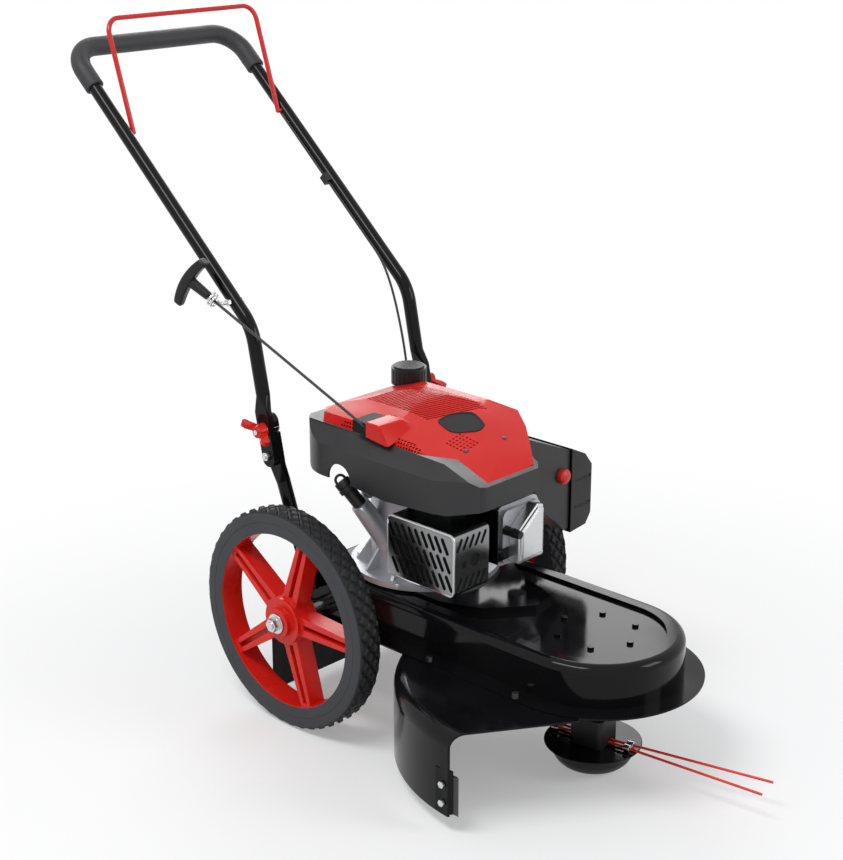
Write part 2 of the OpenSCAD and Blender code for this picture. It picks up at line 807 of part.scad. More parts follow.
module v_belt() {
  small = engine_pulley_d / 2;
  big = spindle_pulley_d / 2;
  run_len = belt_centres * cos(belt_lean);
  color("#1f2022") translate([0, 0, belt_z]) {
    rotate([0, 0, -belt_wrap]) rotate_extrude(angle = 2 * belt_wrap, $fn = 72)
      belt_section(big, bend_swell / 2);
    translate([-belt_centres, 0, 0]) rotate([0, 0, belt_wrap])
      rotate_extrude(angle = 360 - 2 * belt_wrap, $fn = 72) belt_section(small, bend_swell / 2);
    both_sides() translate([-belt_centres, 0, 0]) rotate([0, 0, belt_wrap]) rotate([90, 0, 0])
      translate([0, 0, -bend_lap]) linear_extrude(run_len + 2 * bend_lap) belt_section(small, 0);
  }
}

// Cutting head: disc and hub on the spindle, a glide bowl below, and lines held in eyelets
hub_side = 54;
eyelet_r = 60;
eyelet_apart = 6;
line_z = disc_z + line_d / 2 + 3.5;
tip_apart = 20;
line_lean = atan((tip_apart - eyelet_apart) / (cut_d / 2 - eyelet_r));

module on_head() {
  rotate([0, 0, line_turn]) children();
}

module head_disc() {
  color("#17181a") rotate_extrude($fn = 96) {
    translate([spindle_r + press, disc_z - disc_t]) square([disc_d / 2 - spindle_r - press - 2, disc_t]);
    translate([disc_d / 2 - 2, disc_z - disc_t / 2]) circle(d = disc_t);
  }
}

module head_hub() {
  color("#1d1e20") on_head() difference() {
    union() {
      translate([0, 0, disc_z]) linear_extrude(44) round_rect(hub_side, hub_side, 8);
      translate([0, 0, disc_z]) cylinder(r = spindle_r + 8, h = 55);
    }
    translate([0, 0, disc_z - 1]) cylinder(r = spindle_r + press, h = 60);
  }
}

module glide_bowl() {
  wall = 4;
  foot = foot_d / 2;
  r = bowl_d / 2;
  neck_r = r - 5;
  curve = [for (a = [15 : 15 : 90]) [foot + (r - foot) * sin(a), bowl_rim * (1 - cos(a))]];
  inside = [for (a = [90 : -15 : 0])
    [foot + (r - wall - 5 - foot) * sin(a), wall + (bowl_rim - wall) * (1 - cos(a))]];
  top = disc_z - disc_t;
  color("#1d1e20") rotate_extrude($fn = 96) polygon(concat(
    [[0, 0], [foot, 0]], curve,
    [[r, bowl_rim + 2], [neck_r, bowl_rim + 3], [neck_r, top], [r - wall - 5, top]],
    inside, [[0, wall]]));
}

module line_places() {
  on_head() for (turn = [0, 180], side = [-1, 1]) rotate([0, 0, turn])
    translate([eyelet_r, side * eyelet_apart, line_z]) rotate([0, 90, side * line_lean]) children();
}

module line_eyelets() {
  color("#b9bcbf") line_places() translate([0, 0, -5]) difference() {
    cylinder(d = 2 * (line_z - disc_z), h = 10);
    translate([0, 0, -1]) cylinder(d = line_d + 2 * press, h = 12);
  }
}

module trimmer_lines() {
  line_in = (eyelet_r - hub_side / 2 - 1) / cos(line_lean);
  line_out = (cut_d / 2 - eyelet_r) / cos(line_lean) - 1;
  color("#d8261c") line_places() translate([0, 0, -line_in]) cylinder(d = line_d, h = line_in + line_out);
}

// Engine block: a flanged crankcase with a finned barrel pointing forward
flange_t = 9;
case_r = 86;
case_h = 135;
boss_h = 158;
fin_half = 48;
fin_pitch = 9;
fin_t = 3.2;
barrel_end = 160;
head_front = 185;
post_r = 95;
post_turns = [60, 120, 240, 300];
fin_low_y = cyl_y - fin_half;
fin_high_y = cyl_y + fin_half;

module along_barrel(x) {
  translate([x, cyl_y, cyl_z]) rotate([0, 90, 0]) children();
}

module post_places() {
  for (a = post_turns) rotate([0, 0, a]) translate([post_r, 0, 0]) children();
}

module crankcase() {
  fins = floor((barrel_end - case_r + 6) / fin_pitch);
  color("#b4b7ba") on_engine() difference() {
    union() {
      cylinder(d = flange_d, h = flange_t, $fn = 96);
      cylinder(r = case_r, h = case_h, $fn = 96);
      cylinder(r = 34, h = boss_h);
      along_barrel(0) cylinder(r = fin_half - 8, h = barrel_end);
      for (i = [0 : fins - 1]) along_barrel(barrel_end - fin_t - i * fin_pitch)
        linear_extrude(fin_t) round_rect(2 * fin_half, 2 * fin_half, 14);
      post_places() translate([0, 0, case_h - 14]) cylinder(r = 9, h = 14);
      for (a = [15 : 30 : 345]) rotate([0, 0, a]) translate([case_r - 4, 2.5, flange_t - 1])
        rotate([90, 0, 0]) linear_extrude(5) polygon([[0, 0], [28, 0], [4, 34], [0, 34]]);
      between(filler_root, filler_foot) cylinder(r1 = 19, r2 = 15, h = norm(filler_foot - filler_root) + 6);
    }
    translate([0, 0, flange_t + 5]) cylinder(r = case_r - 12, h = case_h - flange_t - 15);
    along_barrel(0) cylinder(r = fin_half - 14, h = barrel_end + 1);
    translate([0, 0, -1]) cylinder(r = journal_r + run, h = boss_h + 2);
    for (a = engine_bolts) rotate([0, 0, a]) translate([engine_bolt_r, 0, -1]) {
      cylinder(d = bolt_d + 2 * gap, h = flange_t + 2);
      translate([0, 0, flange_t + 1]) cylinder(d = 2 * bolt_d + 2, h = 40);
    }
    between(filler_foot, filler_root) cylinder(r = 7, h = 20);
    between(filler_foot, filler_tip) cylinder(r = filler_r + press, h = filler_len);
  }
}

module cylinder_head() {
  color("#a9acaf") on_engine() difference() {
    union() {
      along_barrel(barrel_end) linear_extrude(head_front - barrel_end)
        round_rect(2 * fin_half - 10, 2 * fin_half - 10, 12);
      for (i = [0 : 1]) along_barrel(barrel_end + 4 + i * fin_pitch)
        linear_extrude(fin_t) round_rect(2 * fin_half, 2 * fin_half, 14);
    }
    plug_place() translate([0, 0, -20]) cylinder(r = plug_r + press, h = 21);
  }
}

plug_r = 5;
plug_y = -22;
plug_z = 112;

module plug_place() {
  translate([head_front, plug_y, plug_z]) rotate([0, 90, 0]) children();
}

module spark_plug() {
  color("#1b1c1e") on_engine() plug_place() {
    translate([0, 0, -15]) cylinder(r = plug_r, h = 16);
    cylinder(r = 8, h = 9, $fn = 6);
    translate([0, 0, 8]) cylinder(r = 6.5, h = 16);
    translate([0, 0, 16]) cylinder(r1 = 7.5, r2 = 6, h = 14);
  }
}

// Valve cover: a bevelled casting on the front of the head, its top rising to the left
valve_back = [[-28, -40], [28, -40], [28, 42], [14, 46], [-28, 14]];

module valve_cover() {
  depth = 18;
  color("#c9ccce") on_engine() translate([head_front, cyl_y, cyl_z]) along_x() {
    linear_extrude(depth) polygon(valve_back);
    translate([0, 0, depth - 1]) linear_extrude(5) scale(0.9) polygon(valve_back);
    translate([0, 0, depth + 3]) linear_extrude(2.5) scale(0.8) polygon(valve_back);
  }
}

// Exhaust: a box muffler on a flanged pipe, inside a slotted sheet guard
guard_wall = 1.5;
exhaust_x = 120;
exhaust_r = 13;
muffler_in = muffler_y + muffler_w;

module on_muffler() {
  translate([muffler_x + muffler_len / 2, muffler_y, muffler_z + muffler_h / 2])
    rotate([-90, 0, 0]) children();
}

module muffler() {
  fit = guard_wall + press;
  wall = 2;
  color("#55585c") on_engine() difference() {
    union() {
      on_muffler() translate([0, 0, 8]) linear_extrude(muffler_w - 10)
        round_rect(muffler_len - 2 * fit, muffler_h - 2 * fit, 10 - fit);
      translate([exhaust_x, muffler_in - 3, cyl_z]) along_y()
        cylinder(r = exhaust_r, h = fin_low_y - muffler_in + 3);
      translate([exhaust_x - 24, fin_low_y - 4, cyl_z - 20]) cube([48, 4, 40]);
    }
    on_muffler() translate([0, 0, 8 + wall]) linear_extrude(muffler_w - 10 - 2 * wall)
      round_rect(muffler_len - 2 * fit - 2 * wall, muffler_h - 2 * fit - 2 * wall, 8 - fit);
    translate([exhaust_x, muffler_in - 8, cyl_z]) along_y()
      cylinder(r = exhaust_r - wall, h = fin_low_y - muffler_in + 10);
  }
}

module muffler_guard() {
  color("#b9bcbe") on_engine() difference() {
    on_muffler() linear_extrude(muffler_w) round_rect(muffler_len, muffler_h, 10);
    on_muffler() translate([0, 0, guard_wall]) linear_extrude(muffler_w)
      round_rect(muffler_len - 2 * guard_wall, muffler_h - 2 * guard_wall, 10 - guard_wall);
    on_muffler() for (row = [-1 : 1], i = [-4 : 4])
      translate([i * 13.5 + row * 4, row * 28, -1]) linear_extrude(4) rotate(62) slot_2d(27, 6.5);
    translate([muffler_x + muffler_len - 5, muffler_y + muffler_w / 2, muffler_z + muffler_h / 2]) along_x() {
      for (row = [0 : 1], i = [-2 : 2]) translate([i * 13, 31 - 62 * row])
        linear_extrude(8) rotate(62) slot_2d(22, 6);
      translate([8, 0]) linear_extrude(8) circle(d = 20);
      translate([-16, -2]) linear_extrude(8) circle(d = 11);
    }
  }
}

// Head baffle: a bent sheet between muffler and barrel, held on the front of the head
baffle_y = -42;
baffle_t = 2;

module head_baffle() {
  color("#232427") on_engine() difference() {
    union() {
      translate([104, baffle_y, 62]) cube([head_front + baffle_t - 104, baffle_t, 86]);
      translate([head_front, baffle_y, 66]) cube([baffle_t, 27, 18]);
    }
    translate([exhaust_x, baffle_y - 1, cyl_z]) along_y() cylinder(r = exhaust_r + gap, h = baffle_t + 2);
  }
}

// Intake: carburettor, filter housing with its primer, element and hinged cover
carb_x = 125;
horn_z = 88;
horn_r = 10;
cavity_outline = [[112, 202], [151, 186], [151, 64], [140, 64], [120, 84], [112, 90]];
filter_wall = 3;

module carburettor() {
  color("#8f9296") on_engine() {
    translate([carb_x - 22, fin_high_y, 62]) cube([44, 3, 40]);
    translate([carb_x - 18, fin_high_y, 62]) cube([36, 28, 34]);
    translate([carb_x, fin_high_y + 15, 40]) cylinder(r = 15, h = 26);
    translate([carb_x, fin_high_y + 20, horn_z - 8]) along_y() cylinder(r = horn_r, h = 44);
  }
}

// All that lies above the line in which cover and shroud meet
module above_rim() {
  translate([0, 300, 0]) rotate([90, 0, 0]) linear_extrude(600)
    polygon(concat(rim_line, [[300, 500], [-300, 500]]));
}

// Room for the top cover, slightly larger than its outline
module cover_room() {
  intersection() {
    linear_extrude(reach) scale(1.015) polygon(cover_plan);
    above_rim();
  }
}

module filter_base() {
  depth = filter_front - filter_back;
  color("#303236") on_engine() difference() {
    translate([filter_back, 0, 0]) along_x() linear_extrude(depth) polygon(base_outline);
    translate([filter_back + filter_wall, 0, 0]) along_x()
      linear_extrude(depth - 2 * filter_wall) polygon(cavity_outline);
    translate([0, 0, -gap]) cover_room();
    translate([filter_front - 2 * filter_wall, primer_y, primer_z]) rotate([0, 90, 0])
      cylinder(d = primer_d + 2 * gap, h = 4 * filter_wall);
    translate([carb_x, 80, horn_z - 8]) along_y() cylinder(r = horn_r + gap, h = 50);
  }
}

module filter_element() {
  pleats = 6;
  low = 100;
  high = 180;
  color("#d9c9a0") on_engine() translate([filter_back + 7, 112, low]) {
    cube([58, 10, high - low]);
    for (i = [0 : pleats - 1]) translate([0, 9, i * (high - low) / pleats]) cube([58, 24, 7]);
  }
}

module filter_cover() {
  width = filter_front - filter_back + 8;
  color("#1c1d1f") on_engine() translate([filter_back - 4, 0, 0]) difference() {
    along_x() linear_extrude(width) polygon(lid_outline);
    translate([filter_wall, 0, 0]) along_x() linear_extrude(width - 2 * filter_wall)
      polygon([[150, 189], [183, 174], [198, 154], [198, 76], [187, 60], [150, 57]]);
    for (z = [92, 136]) translate([width - 2, 158, z]) cube([4, 40, 4]);
  }
}

module primer_bulb() {
  color("#c8201a") on_engine() translate([filter_front, primer_y, primer_z]) rotate([0, 90, 0]) {
    translate([0, 0, -filter_wall]) cylinder(d = primer_d, h = filter_wall + 6);
    translate([0, 0, 6]) intersection() {
      translate([0, 0, -10]) sphere(d = primer_d + 8);
      cylinder(d = primer_d, h = 20);
    }
  }
}

// Crankshaft, flywheel with its fan, and the recoil starter above it
crank_low = belt_z - pulley_w / 2 - 3 - engine_seat;
flywheel_low = 160;
flywheel_high = 185;
fan_high = 204;
nut_high = 196;

module crankshaft() {
  color("#8b8e92") on_engine() {
    translate([0, 0, crank_low]) cylinder(r = crank_r, h = 10 - crank_low);
    cylinder(r = journal_r, h = nut_high);
    translate([0, 0, flywheel_high + gap]) cylinder(r = 17, h = 8, $fn = 6);
  }
}

module flywheel() {
  fan_blades = 18;
  color("#85888b") on_engine() difference() {
    union() {
      translate([0, 0, flywheel_low]) cylinder(d = flywheel_d, h = flywheel_high - flywheel_low, $fn = 96);
      for (i = [0 : fan_blades - 1]) rotate([0, 0, 360 * i / fan_blades])
        translate([flywheel_d / 2 - 26, -1.5, flywheel_high - 1]) cube([24, 3, fan_high - flywheel_high + 1]);
    }
    translate([0, 0, flywheel_low - 1]) cylinder(r = journal_r + press, h = 40);
  }
}

spool_r = 55;
spool_low = ring_z - 10;
spool_h = 14;
post = 7;
recoil_high = 248;

module recoil_housing() {
  wall = 3;
  box_back = -35;
  box_len = 55;
  color("#1c1d1f") on_engine() difference() {
    union() {
      rotate_extrude($fn = 96) polygon([
        [0, spool_low], [post, spool_low], [post, recoil_high - wall], [ring_in, recoil_high - wall],
        [ring_in, ring_z], [ring_out, ring_z], [ring_out, ring_z + wall], [ring_in + wall, ring_z + wall],
        [ring_in + wall, recoil_high], [0, recoil_high]
      ]);
      translate([box_back, outlet[1] - 3, ring_z + 4]) cube([box_len, 47, 19]);
      translate([-14, outlet[1] + 40, ring_z + 4]) cube([28, 16, 5.5]);
    }
    between(outlet - rope_in * pull, outlet) cylinder(d = rope_d + 2, h = 2 * rope_in);
    for (a = [0 : 30 : 330]) rotate([0, 0, a]) translate([38, 0, recoil_high - wall - 1])
      linear_extrude(wall + 2) slot_2d(36, 6);
  }
}

module starter_pulley() {
  color("#3a3c40") on_engine() translate([0, 0, spool_low]) rotate_extrude($fn = 72) polygon([
    [post + run, 0], [spool_r, 0], [spool_r, 2], [spool_r - 10, 5], [spool_r - 10, spool_h - 5],
    [spool_r, spool_h - 2], [spool_r, spool_h], [post + 8, spool_h],
    [post + 8, recoil_high - 3 - gap - spool_low], [post + run, recoil_high - 3 - gap - spool_low]
  ]);
}

// Shroud: a moulded shell with a chamfered rim, on four posts
module shroud_plan() {
  back_len = filter_back - gap - shroud_back;
  translate([shroud_back + back_len / 2, 0]) round_rect(back_len, 2 * shroud_half, 85);
  polygon([[0, -shroud_half], [140, -shroud_half], [222, -122], [shroud_front, -112],
    [shroud_front, 0], [215, 14], [150, 41], [0, 41]]);
}

module shroud_form() {
  difference() {
    intersection() {
      translate([0, 0, 100]) linear_extrude(200) shroud_plan();
      translate([0, 200, 0]) rotate([90, 0, 0]) linear_extrude(400) polygon(shroud_side);
      translate([-300, 0, 0]) along_x() linear_extrude(600) polygon(shroud_end);
    }
    above_rim();
  }
}

shell_mid = [30, 0, 140];
neck_r = 22;

module engine_shroud() {
  color("#303236") on_engine() difference() {
    union() {
      difference() {
        shroud_form();
        translate(shell_mid) scale(shell_keep) translate(-shell_mid) shroud_form();
      }
      difference() {
        post_places() translate([0, 0, case_h]) cylinder(r = 6, h = 120);
        above_rim();
      }
      translate([0, 0, 212]) ring(2 * ring_out, 2 * ring_in, ring_z - 212);
    }
    translate([0, 0, 206]) cylinder(r = ring_in, h = 40);
    translate([cap_x, cap_y, 200]) cylinder(r = neck_r + gap, h = 60);
    translate([filler_tip[0] + 4, -shroud_half - 5, 162]) along_y() cylinder(r = 24, h = 45);
    cable_hole();
  }
}

// Top cover: a moulded shell with long air slots, on the shroud's rim
module cover_form() {
  intersection() {
    translate([0, 0, 150]) linear_extrude(200) polygon(cover_plan);
    translate([0, 200, 0]) rotate([90, 0, 0]) linear_extrude(400) polygon(cover_side);
    translate([-300, 0, 0]) along_x() linear_extrude(600) polygon(cover_end);
    translate(hood_at) rotate([hood_roll, hood_dip, 0]) translate([-400, -400, -300]) cube([800, 800, 300]);
  }
}

module cover_slots() {
  slots = 22;
  for (i = [0 : slots - 1]) translate([-62 + i * 6, 0, 240]) linear_extrude(80) rotate(58) slot_2d(96, 2.6);
}

// Square air holes: rows along the right flank, ahead of and behind the rope's outlet, and a field on the top
vent = 3.4;
vent_pitch = 5.8;
flank_edge = cover_end[2] - cover_end[1];
flank_mid = (cover_end[1] + cover_end[2]) / 2;

module flank_hole(x, row) {
  translate([x + row * vent_pitch / 2, flank_mid[0], flank_mid[1]])
    rotate([atan2(flank_edge[1], flank_edge[0]), 0, 0])
      translate([0, row * vent_pitch, 0]) cube([vent, vent, 24], center = true);
}

module cover_vents() {
  for (row = [-1 : 1], i = [0 : 10 - 3 * row]) flank_hole(27 + i * vent_pitch, row);
  for (row = [-1 : 1], i = [0 : 5]) flank_hole(-76 + i * vent_pitch, row);
  for (row = [0 : 4], i = [0 : 5]) translate([106 + i * 7, -66 + row * 7, 220])
    rotate([0, 0, 20]) translate([-vent / 2, -vent / 2, 0]) cube([vent, vent, 80]);
}

cover_mid = [30, 0, 195];

module top_cover() {
  color("#cf1f18") on_engine() difference() {
    intersection() {
      cover_form();
      above_rim();
    }
    translate(cover_mid) scale(shell_keep) translate(-cover_mid) cover_form();
    cover_slots();
    cover_vents();
    translate([cap_x, cap_y, 200]) cylinder(d = cap_d + 6, h = 120);
    translate([-36, -130, ring_z + 3]) cube([57, 55.5, 23]);
    translate([0, 0, ring_z - 30]) cylinder(r = ring_out + 1, h = 34);
  }
}

// Fuel tank under the shroud's rear, with a neck up to its cap
tank_back = -158;
tank_front = -93;
tank_low = 172;
tank_high = 222;
neck_high = cap_z + 14;

module fuel_tank() {
  color("#2b2c2f") on_engine() difference() {
    union() {
      translate([(tank_back + tank_front) / 2, 5, tank_low]) linear_extrude(tank_high - tank_low)
        round_rect(tank_front - tank_back, 150, 20);
      translate([cap_x, cap_y, tank_low + 20]) cylinder(r = neck_r, h = neck_high - tank_low - 20);
    }
    translate([cap_x, cap_y, tank_low + 10]) cylinder(r = neck_r - 3, h = 150);
  }
}

module fuel_cap() {
  grooves = 24;
  color("#232427") on_engine() translate([cap_x, cap_y, cap_z]) difference() {
    union() {
      cylinder(d = cap_d, h = cap_h - 3);
      cylinder(d1 = cap_d - 4, d2 = cap_d - 8, h = cap_h);
    }
    translate([0, 0, -1]) cylinder(r = neck_r + gap, h = neck_high - cap_z + 1 + gap);
    for (i = [0 : grooves - 1]) rotate([0, 0, 360 * i / grooves])
      translate([cap_d / 2 + 1, 0, -1]) cylinder(r = 2, h = cap_h - 6);
  }
}

// Oil filler tube and its dipstick
filler_len = norm(filler_tip - filler_foot);
filler_r = 11;
filler_bore = 6;

module oil_filler() {
  color("#1c1d1f") on_engine() between(filler_foot, filler_tip) difference() {
    union() {
      cylinder(r = filler_r, h = filler_len);
      translate([0, 0, filler_len - 8]) cylinder(r = filler_r + 3, h = 8);
    }
    translate([0, 0, -1]) cylinder(r = filler_bore, h = filler_len + 2);
  }
}

module dipstick() {
  color("#232427") on_engine() between(filler_foot, filler_tip) {
    translate([0, 0, filler_len + gap]) cylinder(r = filler_r + 2, h = 12);
    translate([0, 0, 8]) cylinder(r = 2.5, h = filler_len);
    translate([0, 0, filler_len - 10]) cylinder(r = filler_bore - run, h = 12);
    translate([0, 0, filler_len + 11]) cube([22, 6, 14], center = true);
  }
}

// Upper handle: one bent tube with flattened lower ends
bail_bend = 24;
stud_at = 51;
stud_d = 6;
stud_out = 25;

// Bends are a hair thicker than the straights, and take in their ends
bend_swell = 0.1;
bend_lap = 1;

// The bent run of a tube or sleeve of diameter d, from a point on the arm round the crossbar
module arm_run(d, from) {
  half = handle_half - corner_r;
  arm_frame() {
    both_sides() {
      translate([0, handle_half, from]) cylinder(d = d, h = arm_len - corner_r - from + bend_lap);
      translate([0, half, arm_len - corner_r]) rotate([90, 0, 90])
        rotate_extrude(angle = 90) translate([corner_r, 0]) circle(d = d + bend_swell);
    }
    translate([0, -half - bend_lap, arm_len]) along_y() cylinder(d = d, h = 2 * (half + bend_lap));
  }
}

// The leg and elbow below each arm
module leg_run(d, from) {
  both_sides() handle_frame() {
    translate([0, handle_half, from]) cylinder(d = d, h = elbow_at - elbow_tan - from + bend_lap);
    elbow_bend() translate([0, handle_half, 0]) rotate([90, 0, 0])
      rotate_extrude(angle = elbow_turn) translate([elbow_r, 0]) circle(d = d + bend_swell);
  }
}

module upper_handle() {
  leg_low = tongue_up + neck;
  bore = tube_d - 2 * tube_wall;
  color("#17181a") difference() {
    union() {
      leg_run(tube_d, leg_low);
      arm_run(tube_d, elbow_tan - bend_lap);
      both_sides() handle_frame() {
        translate([0, upper_out, 0]) rotate([90, 0, 0]) linear_extrude(flat_t)
          mirror([0, 1]) strip_2d(-tongue_up, tongue_low);
        hull() {
          translate([gap - flat_w / 2, upper_in + gap, tongue_up - 4])
            cube([flat_w - 2 * gap, flat_t - 2 * gap, 4.5]);
          translate([0, handle_half, leg_low]) cylinder(d = tube_d - gap, h = 2, $fn = 32);
        }
      }
    }
    leg_run(bore, leg_low + 4);
    arm_run(bore, elbow_tan - bend_lap);
    both_sides() {
      handle_frame() {
        translate([0, upper_in - 1, 0]) along_y() cylinder(d = bolt_d + 2 * run, h = flat_t + 2);
        translate([0, upper_in - 1, clamp_up]) along_y() cylinder(d = bolt_d + 2 * gap, h = flat_t + 2);
      }
      arm_frame() translate([0, handle_half - tube_d / 2 - 1, arm_len - bail_drop]) along_y()
        cylinder(d = bail_d + 2 * run, h = tube_d / 2);
    }
    arm_frame() translate([0, -handle_half - tube_d, stud_at]) along_y()
      cylinder(d = stud_d + 2 * gap, h = 2 * tube_d);
  }
}

module foam_grip() {
  color("#2a2b2e") difference() {
    arm_run(grip_d, arm_len - grip_leg);
    arm_run(tube_d + 2 * run, arm_len - grip_leg - 1);
  }
}

// Bail: a bent rod that turns in holes through the inner sides of the arms
module bail_frame() {
  arm_frame() translate([0, 0, arm_len - bail_drop]) rotate([0, lean_up - bail_lean, 0]) children();
}

module bail() {
  color("#cf1f18") bail_frame() {
    both_sides() {
      translate([0, bail_half, 0]) {
        cylinder(d = bail_d, h = bail_len - bail_bend);
        sphere(d = bail_d);
        along_y() cylinder(d = bail_d, h = handle_half - bail_half - 2);
      }
      translate([0, bail_half - bail_bend, bail_len - bail_bend]) rotate([90, 0, 90])
        rotate_extrude(angle = 90) translate([bail_bend, 0]) circle(d = bail_d);
    }
    translate([0, bail_bend - bail_half, bail_len]) along_y()
      cylinder(d = bail_d, h = 2 * (bail_half - bail_bend));
  }
}

// Clamping bolts, with their wing knobs on the outside
knob_in = upper_out + gap;
knob_h = 14;

module clamp_bolts() {
  head = 4;
  head_in = lower_in - gap - head;
  color("#9a9da1") both_sides() handle_frame() translate([0, head_in, clamp_up]) along_y() {
    cylinder(d = 2 * bolt_d, h = head);
    cylinder(d = bolt_d, h = knob_in + knob_h + 3 - head_in);
  }
}

module wing_knob() {
  half = wing_span / 2;
  color("#cf1f18") handle_frame() translate([0, knob_in, clamp_up])
    along_y() rotate([0, 0, 35]) difference() {
    union() {
      cylinder(d1 = 24, d2 = 19, h = knob_h);
      translate([0, 4, 0]) rotate([90, 0, 0]) linear_extrude(8) {
        for (s = [0, 1]) mirror([s, 0]) {
          polygon([[0, 2], [10, 2], [half - 5, 12], [half - 5, 22], [half - 12, 22], [8, 12], [0, 12]]);
          translate([half - 6, 17]) circle(r = 6);
        }
      }
    }
    translate([0, 0, -1]) cylinder(d = bolt_d + 2 * run, h = knob_h + 20);
  }
}

module wing_knob_left() {
  wing_knob();
}

module wing_knob_right() {
  mirror([0, 1, 0]) wing_knob();
}

// Rope guide: a wire eye of two turns, welded to a stud through the right arm
coil_r = 9;
wire_d = 4;
coil_turns = 2;
coil_pitch = 5.5;
coil_steps = 48;
arm_x = pivot_x - elbow_at * sin(lean_low);
arm_z = pivot_z + elbow_at * cos(lean_low);
stud_end = [arm_x - stud_at * sin(lean_up), -handle_half - stud_out, arm_z + stud_at * cos(lean_up)];
stud_way = stud_end - guide - ((stud_end - guide) * pull) * pull;
coil_u = stud_way / norm(stud_way);
coil_v = cross(pull, coil_u);
coil = [for (k = [0 : coil_steps])
  let (a = 360 * coil_turns * k / coil_steps, rise = coil_pitch * coil_turns * (k / coil_steps - 0.5))
  guide + rise * pull + coil_r * (cos(a) * coil_u + sin(a) * coil_v)];
coil_gap = min([for (i = [0 : coil_steps], j = [0 : coil_steps])
  if (j - i > coil_steps / coil_turns / 2) norm(coil[j] - coil[i])]) - wire_d;
echo(least_gap_between_turns = coil_gap);

module rope_guide() {
  color("#c3c6c9") {
    cord(concat([stud_end + [0, 3, 0], stud_end + [0, -1, 0]], coil), wire_d, 6);
    arm_frame() translate([0, -handle_half - stud_out, stud_at]) along_y() {
      cylinder(d = stud_d, h = stud_out + tube_d / 2 + 8);
      translate([0, 0, stud_out - tube_d / 2 - 6]) cylinder(d = 12, h = 6, $fn = 6);
      translate([0, 0, stud_out + tube_d / 2]) cylinder(d = 12, h = 6, $fn = 6);
    }
  }
}

// Starter grip: a bar on a tapered stem, drawn along the rope
grip_foot = 8;
rope_hold = 24;
bar_d = 24;

module starter_grip() {
  color("#1c1d1f") between(guide, guide + pull) difference() {
    union() {
      translate([0, 0, grip_foot]) cylinder(r1 = 7, r2 = 9, h = stem_len - grip_foot);
      translate([0, 0, stem_len]) rotate([0, 90, 0]) {
        cylinder(d = bar_d, h = pull_bar - 16, center = true);
        for (s = [0, 1]) mirror([0, 0, s]) translate([0, 0, pull_bar / 2 - 8.5])
          cylinder(d1 = bar_d, d2 = bar_d - 8, h = 8.5);
      }
    }
    translate([0, 0, grip_foot - 1]) cylinder(d = rope_d + 2 * gap, h = rope_hold + 1);
  }
}

module starter_rope() {
  rope_start = rope_end - (rope_in - 2) * pull;
  rope_tip = guide + (grip_foot + rope_hold - 2) * pull;
  color("#26272a") cord(spread([rope_start, guide, rope_tip], 12), rope_d, 8);
}

// Brake cable: along the inside of the left arm and down into the shroud
cable_y = handle_half - tube_d / 2 - cable_d / 2 - gap;
clip_at = 230;
function on_arm(d) = [arm_x - d * sin(lean_up), cable_y, arm_z + d * cos(lean_up)];
cable_route = [[-590, 154, 646], [-572, 149, 626], [-552, 142, 598], [-534, 135, 566], [-518, 128, 534],
  [-504, 121, 502], [-492, 114, 472], [-483, 107, 446]];

module brake_cable() {
  clipped = spread([on_arm(arm_len - bail_drop - 9), on_arm(80)], 9);
  color("#1f2022") cord(concat(clipped, cable_route), cable_d, 8);
}

module cable_hole() {
  last = len(cable_route) - 1;
  a = cable_route[last - 1] - [-belt_centres, 0, engine_seat];
  b = cable_route[last] - [-belt_centres, 0, engine_seat];
  between(a, b) cylinder(d = cable_d + 2, h = 2 * norm(b - a));
}

module cable_bracket() {
  color("#1f2022") arm_frame() difference() {
    translate([-7, cable_y - 5, clip_at]) cube([14, handle_half - cable_y, 16]);
    translate([0, handle_half, clip_at - 1]) cylinder(d = tube_d + 2 * press, h = 18);
    translate([0, cable_y, clip_at - 1]) cylinder(d = cable_d + 2 * gap, h = 18);
  }
}

deck();
side_guard();
line_cutter();
deck_bolts();
axle_brackets();
axle();
axle_fittings();
rear_flap();
flap_bar();
lower_tube_left();
lower_tube_right();
frame_bolts();
rim_left();
tyre_left();
rim_right();
tyre_right();
spindle_housing();
spindle_bearings();
spindle();
spindle_pulley();
v_belt();
head_disc();
head_hub();
glide_bowl();
line_eyelets();
trimmer_lines();
crankcase();
cylinder_head();
valve_cover();
head_baffle();
spark_plug();
muffler();
muffler_guard();
carburettor();
filter_base();
filter_element();
filter_cover();
primer_bulb();
crankshaft();
flywheel();
engine_pulley();
engine_shroud();
top_cover();
fuel_tank();
fuel_cap();
recoil_housing();
starter_pulley();
oil_filler();
dipstick();
upper_handle();
foam_grip();
bail();
clamp_bolts();
wing_knob_left();
wing_knob_right();
rope_guide();
starter_grip();
starter_rope();
cable_bracket();
brake_cable();
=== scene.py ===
import math

